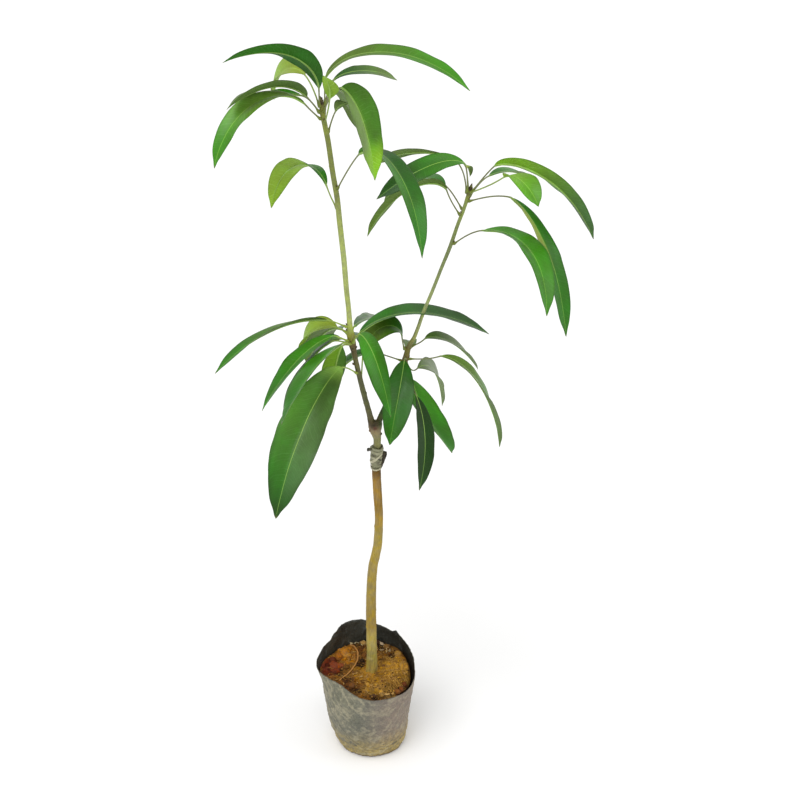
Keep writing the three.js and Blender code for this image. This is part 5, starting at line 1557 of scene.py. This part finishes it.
def soil_height(x, y):
    """Height of the soil's surface, mm."""
    a = np.arctan2(y, x + 3.5)
    r = np.hypot(x + 3.5, y)
    share = np.clip(r / 63.0, 0, 1)
    level = mix(SOIL_LEVEL, soil_edge(a), share**2)
    p = np.stack([x, y, 0 * x], -1)
    h = level + 2.4 * fbm(p, 24.0, 2, 161) + 1.7 * fbm(p, 9.0, 3, 163) + 1.0 * ridge(p, 4.5, 3, 165) + 0.5 * fbm(p, 1.6, 2, 167)
    h = h + 1.6 * np.exp(-(((x + 40) / 15) ** 2) - (((y - 30) / 18) ** 2)) + 1.2 * np.exp(-(((x - 30) / 20) ** 2) - ((y / 22) ** 2))
    for hx_, hy_, wide, deep_, down in HOLLOWS:
        h = h - down * np.exp(-(((x - hx_) / wide) ** 2) - (((y - hy_) / deep_) ** 2))
    side = smooth(61.0 - 1.1 * crevice(a), 66.5 - 1.1 * crevice(a), r)
    return h - 0.2 - side * 0.5 * crevice(a)


def soil_colour(x, y, seed_no=0):
    """Plain soil colours by place: golden coir in front and on the right, redder lumps on the left and at the right edge, dark crumbs behind."""
    p = np.stack([x, y, 0 * x + seed_no], -1)
    c = np.tile(lin((120, 80, 30)), (len(x), 1))

    def lay(c, colour, cx, cy, rx, ry, strength):
        d = ((x - cx) / rx) ** 2 + ((y - cy) / ry) ** 2 + 0.55 * fbm(p, 9.0, 3, 171 + int(abs(cx)))
        t = (smooth(1.25, 0.55, d) * strength)[:, None]
        return c * (1 - t) + lin(colour) * t

    c = lay(c, (170, 124, 42), 14, -14, 44, 40, 0.95)
    c = lay(c, (184, 138, 54), 32, 6, 20, 22, 0.8)
    c = lay(c, (172, 130, 56), 8, -40, 26, 12, 0.7)
    c = lay(c, (162, 106, 34), -38, 31, 17, 25, 0.95)
    c = lay(c, (104, 40, 18), -58, 4, 14, 24, 0.97)
    c = lay(c, (86, 38, 20), 47, -36, 14, 18, 0.95)
    c = lay(c, (92, 54, 24), -28, -34, 20, 16, 0.8)
    c = lay(c, (84, 44, 22), -6, 44, 14, 16, 0.7)
    c = lay(c, (70, 46, 26), 14, 57, 16, 11, 0.8)
    c = lay(c, (172, 134, 74), 26, -52, 14, 6, 0.85)
    # the hollows are painted dark: painted shade in the dips
    for hx_, hy_, wide, deep_, down in HOLLOWS:
        c = lay(c, (36, 22, 12), hx_, hy_, wide * 1.05, deep_ * 1.05, min(0.96, 0.30 * down))
    g = smooth(0.05, 0.55, fbm(p, 7.0, 3, 181))[:, None] * 0.62
    c = c * (1 - g) + c * 0.38 * g
    g = smooth(0.2, 0.7, fbm(p, 5.0, 3, 183))[:, None] * 0.35
    c = c * (1 - g) + lin((178, 138, 70)) * g
    return c


def soil_bed():
    cols, rows = 300, 96
    ang = 2 * np.pi * np.arange(cols) / cols
    edge = film_point(ang, soil_edge(ang), 0.35 + FILM + 0.3 + crevice(ang))[0]
    share = np.linspace(1, 0.012, rows)[:, None]
    cx, cy = -3.2, 0.0
    X = cx + (edge[:, 0] - cx)[None, :] * share
    Y = cy + (edge[:, 1] - cy)[None, :] * share
    Z = soil_height(X.ravel(), Y.ravel()).reshape(X.shape)
    top = np.stack([X, Y, Z], -1)
    low = []
    for z, inset in ((2.4, 6.5), (12.0, 6.0), (30.0, 5.5), (70.0, 5.5), (100.0, 4.6), (112.0, 3.4), (118.0, 1.9)):
        q = film_point(ang, np.full(cols, z), 0.35 + FILM + np.maximum(inset, crevice(ang) + 0.6))[0]
        q[:, 2] = z
        low.append(q)
    rows_all = np.concatenate([np.array(low), top], 0)
    flat = rows_all.reshape(-1, 3)
    c = soil_colour(flat[:, 0], flat[:, 1])
    # soil below the surface level painted darker: painted shade down the crevice and in the deep dips
    painted_depth_shade = smooth(SOIL_LEVEL + 0.5, SOIL_LEVEL - 4.0, flat[:, 2])[:, None] * 0.75
    c = c * (1 - painted_depth_shade) + c * 0.25 * painted_depth_shade
    c = c.reshape(rows_all.shape)
    tint = np.concatenate([c, np.ones(c.shape[:2] + (1,))], -1)
    parts = Parts()
    # planar map for the top, a strip for the rest
    first = parts.grid(rows_all, {"tint": tint}, rect=(0, 0, 1, 1))
    uvs = parts.uq[-1].reshape(-1, 4, 2)
    quads = parts.q[-1]
    i = (quads[:, 0] - first) // cols
    xy = flat[(quads - first).ravel()][:, :2].reshape(-1, 4, 2)
    plane = 0.40 + 0.46 * 0 + xy / 150.0 * 0.78 + 0.02
    plane = np.clip(0.42 + xy / 150.0 * 0.80, 0.0, 0.83)
    strip = uvs.copy()
    strip[..., 0] = 0.86 + 0.13 * uvs[..., 0]
    use = (i >= len(low))[:, None, None]
    parts.uq[-1] = np.where(use, plane, strip).reshape(-1, 2)
    parts.fan(first + np.arange(cols), (-3, 0, 2.2), {"tint": tint[0, 0]}, flip=True, place=(0.9, 0.9))
    last = first + (len(rows_all) - 1) * cols
    parts.fan(last + np.arange(cols), (cx, cy, float(soil_height(np.array([cx]), np.array([cy]))[0])), {"tint": tint[-1, 0]}, place=(0.42, 0.42))
    return parts.make("soil_bed", MAT_SOIL, {"tint": "FLOAT_COLOR"})


finish_piece(soil_bed(), "potting_soil", "soil")


def room_at(x, y, margin):
    """True where a lump of that half width fits inside the bag and clear of the trunk."""
    a = math.atan2(y, x + 3.0)
    r, shift = wall(np.array([a]), np.array([128.0]))
    return math.hypot(x - float(shift[0]), y) < float(r[0]) - 2.2 - margin - float(crevice(np.array([a]))[0]) and math.hypot(x, y) > 9.0 + margin * 0.6


def soil_lumps():
    parts = Parts()
    rng = np.random.default_rng(5)
    wanted = [(-41, 36, 7.5, (164, 108, 38)), (-33, 44, 5.0, (150, 98, 38)), (-47, 26, 5.5, (150, 92, 34)), (-36, 27, 5.0, (166, 116, 46)),
              (-54, 8, 7.0, (118, 56, 30)), (-51, -5, 5.6, (104, 48, 26)), (-45, 7, 5.6, (124, 64, 32)), (-55, 19, 4.6, (96, 46, 26)),
              (43, -30, 4.6, (106, 62, 30)), (47, -21, 3.4, (92, 50, 26)), (37, -38, 4.0, (118, 74, 36)),
              (-12, 60, 4.5, (150, 118, 70)), (8, 60, 4.0, (66, 44, 28)), (22, 52, 4.6, (120, 88, 48)), (38, 32, 4.8, (150, 112, 52)),
              (-26, -38, 4.2, (104, 66, 32)), (5, -52, 3.4, (76, 52, 30)), (-14, 20, 3.2, (50, 34, 20)), (-19, 10, 3.0, (58, 38, 22))]
    for x, y, r, c in wanted:
        place_lump(parts, rng, x, y, r, lin(c), ICO3, 0.55)
    n = 0
    while n < 60:
        x, y = rng.uniform(-64, 60), rng.uniform(-64, 64)
        r = 1.3 + 2.6 * rng.random() ** 2.2
        if not room_at(x, y, r):
            continue
        c = soil_colour(np.array([x]), np.array([y]), 3)[0] * rng.uniform(0.60, 1.05)
        place_lump(parts, rng, x, y, r, c, ICO2, 0.5)
        n += 1
    return parts.make("soil_clods", MAT_CLOD, {"tint": "FLOAT_COLOR"}, with_uv=False)


def place_lump(parts, rng, x, y, r, c, ico, sunk):
    v, f = ico
    stretch = rng.uniform(0.75, 1.25, 3) * np.array([1, 1, 0.72])
    q = v * r * stretch
    off = rng.uniform(-50, 50, 3)
    q = q * (1 + 0.46 * fbm(q + off, r * 1.3, 3, 191) + 0.24 * ridge(q + off, r * 0.6, 3, 193))[:, None]
    z = float(soil_height(np.array([x]), np.array([y]))[0])
    q = q + np.array([x, y, z + r * 0.72 * (1 - sunk * 1.4)])
    # each lump lighter on top and darker below: painted light and shade
    shade = (0.85 + 0.3 * (v[:, 2:3] * 0.5 + 0.5))
    col = np.concatenate([np.clip(c[None, :] * shade, 0, 1), np.ones((len(q), 1))], 1)
    parts.lump(q, f, {"tint": col})


finish_piece(soil_lumps(), "potting_soil")


def soil_crumbs():
    parts = Parts()
    rng = np.random.default_rng(9)
    n = 0
    v, f = ICO1
    while n < 460:
        x, y = rng.uniform(-64, 60), rng.uniform(-64, 64)
        r = 0.45 + 1.0 * rng.random() ** 2
        if not room_at(x, y, r):
            continue
        q = v * r * rng.uniform(0.6, 1.35, 3)
        q = q * (1 + 0.25 * noise(q * 1.7 / r + rng.uniform(-50, 50, 3), 3))[:, None]
        z = float(soil_height(np.array([x]), np.array([y]))[0])
        q = q + np.array([x, y, z + r * 0.35])
        base = soil_colour(np.array([x]), np.array([y]), 7)[0]
        pick = rng.random()
        c = base * rng.uniform(0.6, 1.4) if pick < 0.8 else (lin((170, 132, 70)) if pick < 0.86 else (lin((54, 36, 20)) if pick < 0.95 else lin((110, 50, 26))))
        parts.lump(q, f, {"tint": np.tile(np.r_[np.clip(c, 0, 1), 1.0], (len(q), 1))})
        n += 1
    return parts.make("soil_crumbs", MAT_CLOD, {"tint": "FLOAT_COLOR"}, with_uv=False)


finish_piece(soil_crumbs(), "potting_soil")


def thread(parts, pts, radius, colour, sides=5, taper=0.4, step=None):
    line = np.asarray(pts, float)
    if step:
        line, _ = resample(line, step)
    T, U, V = frames_along(line)
    n = len(line)
    s = np.linspace(0, 1, n)
    r = radius * (1 - taper * s) * (1 - 0.0 * s)
    ang = 2 * np.pi * np.arange(sides) / sides
    ring = line[:, None] + r[:, None, None] * (U[:, None] * np.cos(ang)[None, :, None] + V[:, None] * np.sin(ang)[None, :, None])
    tint = np.broadcast_to(np.r_[colour, 1.0], (n, sides, 4)).copy()
    first = parts.grid(ring, {"tint": tint})
    parts.fan(first + np.arange(sides), line[0], {"tint": tint[0, 0]}, flip=True)
    parts.fan(first + (n - 1) * sides + np.arange(sides), line[-1], {"tint": tint[-1, 0]})


def soil_fibres():
    """Coir: fine curling threads, thickest in front and on the right."""
    parts = Parts()
    rng = np.random.default_rng(13)
    made = 0
    while made < 430:
        if rng.random() < 0.62:
            x, y = 26 + 20 * rng.standard_normal(), -2 + 26 * rng.standard_normal()
        else:
            x, y = rng.uniform(-60, 58), rng.uniform(-60, 62)
        if not room_at(x, y, 2.0):
            continue
        length = rng.uniform(6, 22)
        n = 11
        heading = rng.uniform(0, 2 * np.pi)
        bend = rng.normal(0, 0.32)
        px, py = [x], [y]
        for _ in range(n - 1):
            heading += bend + rng.normal(0, 0.14)
            nx, ny = px[-1] + math.cos(heading) * length / n, py[-1] + math.sin(heading) * length / n
            px.append(nx)
            py.append(ny)
        if not all(room_at(a, b, 0.6) for a, b in zip(px, py)):
            continue
        px, py = np.array(px), np.array(py)
        lift = 0.35 + 1.5 * rng.random() ** 2 * np.sin(np.pi * np.linspace(0, 1, n)) + 0.25 * np.abs(rng.normal(0, 0.4, n))
        pz = soil_height(px, py) + lift
        r = rng.uniform(0.13, 0.30)
        tone = [(188, 142, 62), (160, 114, 44), (196, 154, 78), (112, 74, 30), (186, 148, 88)][rng.choice(5, p=[0.36, 0.30, 0.14, 0.16, 0.04])]
        thread(parts, np.stack([px, py, pz], -1), r, lin(tone) * rng.uniform(0.8, 1.15))
        made += 1
    return parts.make("soil_fibres", MAT_FIBRE, {"tint": "FLOAT_COLOR"}, with_uv=False)


finish_piece(soil_fibres(), "potting_soil")


def soil_roots():
    """The pale curved root on the left and a few thinner ones."""
    parts = Parts()
    rng = np.random.default_rng(17)
    arcs = [
        ([(-32, 54), (-26, 49), (-21.5, 40), (-19.5, 30), (-20, 18), (-24, 5), (-31, -8), (-38, -18), (-44, -26)], 1.1, (178, 126, 68), 2.4),
        ([(16, 60), (19, 52), (22, 44), (21, 37)], 0.9, (176, 148, 104), 1.6),
        ([(-9, 66), (0, 62), (9, 63)], 0.7, (190, 164, 120), 1.4),
        ([(30, 34), (38, 28), (44, 18), (46, 6), (44, -6)], 0.5, (150, 108, 54), 1.6),
        ([(12, -18), (20, -22), (30, -20), (38, -12)], 0.45, (152, 112, 56), 1.4),
        ([(-8, -30), (2, -36), (14, -38), (24, -34)], 0.6, (168, 126, 66), 1.3),
    ]
    for pts, r, tone, up in arcs:
        line = run([(x, y, 0, 0) for x, y in pts], 8)[:, :3]
        z = soil_height(line[:, 0], line[:, 1])
        k = 9
        z = np.convolve(np.pad(z, k // 2, mode="edge"), np.ones(k) / k, "valid")
        s = np.linspace(0, 1, len(line))
        line[:, 2] = z + up * np.sin(np.pi * np.clip(s, 0, 1)) ** 0.6 + 0.2
        line[:, :2] += rng.normal(0, 0.12, (len(line), 2))
        thread(parts, line, r, lin(tone), sides=10, taper=0.35)
    return parts.make("soil_roots", MAT_FIBRE, {"tint": "FLOAT_COLOR"}, with_uv=False)


finish_piece(soil_roots(), "potting_soil")


def soil_flakes():
    """Pale chips of husk and dry leaf."""
    parts = Parts()
    rng = np.random.default_rng(23)
    spots = [(-22, 60, 6.5, (214, 200, 158)), (-13, 60, 6.0, (200, 182, 136)), (-30, 56, 4.5, (176, 156, 116)), (13, 58, 5.5, (172, 150, 122)), (20, 50, 5.2, (184, 160, 118)),
             (26, 42, 4.6, (150, 132, 100)), (15, 44, 4.4, (140, 120, 92)), (24, -50, 5.0, (194, 154, 90)), (31, -46, 4.0, (180, 140, 78)), (15, -50, 3.6, (176, 140, 84))]
    while len(spots) < 60:
        x, y = rng.uniform(-60, 58), rng.uniform(-60, 62)
        if room_at(x, y, 2.5):
            tone = [(160, 122, 66), (142, 102, 50), (168, 136, 84), (104, 68, 36)][rng.integers(4)]
            spots.append((x, y, rng.uniform(1.2, 3.0), tone))
    for x, y, size, tone in spots:
        n = 12
        ang = 2 * np.pi * np.arange(n) / n + rng.uniform(0, 1)
        rr = size * (0.7 + 0.35 * rng.random(n)) * np.where(np.cos(ang) > 0, 1.0, 0.7)
        tilt, spin = rng.normal(0, 0.30), rng.uniform(0, 2 * np.pi)
        ring = np.stack([rr * np.cos(ang), rr * np.sin(ang) * 0.6, 0.18 * size * np.cos(2 * ang)], -1)
        c, s = math.cos(spin), math.sin(spin)
        ring = ring @ np.array([[c, s, 0], [-s, c, 0], [0, 0, 1]])
        ct, stt = math.cos(tilt), math.sin(tilt)
        ring = ring @ np.array([[1, 0, 0], [0, ct, stt], [0, -stt, ct]])
        z = float(soil_height(np.array([x]), np.array([y]))[0]) + 0.9 + 0.25 * size
        t = 0.35
        rows = np.stack([ring * 0.97 - [0, 0, t], ring, ring * 0.98 + [0, 0, t * 0.6]]) + np.array([x, y, z])
        col = np.r_[np.clip(lin(tone) * rng.uniform(0.85, 1.1), 0, 1), 1.0]
        tint = np.broadcast_to(col, rows.shape[:2] + (4,)).copy()
        first = parts.grid(rows, {"tint": tint})
        parts.fan(first + np.arange(n), rows[0].mean(0) + [0, 0, -0.1 * size], {"tint": col}, flip=True)
        parts.fan(first + 2 * n + np.arange(n), rows[2].mean(0) + [0, 0, 0.12 * size], {"tint": col})
    return parts.make("soil_flakes", MAT_FIBRE, {"tint": "FLOAT_COLOR"}, with_uv=False)


finish_piece(soil_flakes(), "potting_soil")


# ------------------------------------------------------------- floor and light
floor_m = Mat("floor_look", rough=0.9, spec=0.1)
floor_m.base(floor_m.mixc(floor_m.noise(floor_m.place(), 300.0, 2.0), (0.90, 0.905, 0.92, 1), (0.92, 0.925, 0.94, 1)))
floor = build("floor", np.array([[-30000, -30000, 0], [30000, -30000, 0], [30000, 30000, 0], [-30000, 30000, 0]], float), [[0, 1, 2, 3]], None, floor_m.m)
floor.location.z = -0.0004

world = bpy.data.worlds.new("studio")
bpy.context.scene.world = world
world.use_nodes = True
world.node_tree.nodes["Background"].inputs[0].default_value = (1.0, 0.985, 0.955, 1)
world.node_tree.nodes["Background"].inputs[1].default_value = 0.72


def area(name, where, at, size, power):
    light = bpy.data.lights.new(name, "AREA")
    light.shape, light.size, light.size_y, light.energy = "RECTANGLE", size[0], size[1], power
    ob = bpy.data.objects.new(name, light)
    bpy.context.scene.collection.objects.link(ob)
    ob.location = where
    d = np.array(at) - np.array(where)
    from mathutils import Vector
    ob.rotation_euler = Vector(d).to_track_quat("-Z", "Y").to_euler()
    return ob


def sun(name, toward, angle, power):
    light = bpy.data.lights.new(name, "SUN")
    light.angle, light.energy = math.radians(angle), power
    ob = bpy.data.objects.new(name, light)
    bpy.context.scene.collection.objects.link(ob)
    from mathutils import Vector
    ob.rotation_euler = Vector(toward).to_track_quat("-Z", "Y").to_euler()
    return ob


sun("key", (0.45, 0.75, -1.5), 45, 1.75)
area("fill", (1.9, -0.6, 2.0), (0.0, 0.0, 0.6), (1.2, 1.2), 8)

cam = bpy.data.cameras.new("camera")
cam.lens, cam.sensor_width = 60.26, 36.0
cam.clip_start, cam.clip_end = 0.05, 60
camera = bpy.data.objects.new("camera", cam)
bpy.context.scene.collection.objects.link(camera)
camera.location = (0.0410, -1.5, 1.357)
camera.rotation_euler = (math.radians(62), 0, 0)
bpy.context.scene.camera = camera
bpy.context.scene.view_settings.view_transform = "Standard"
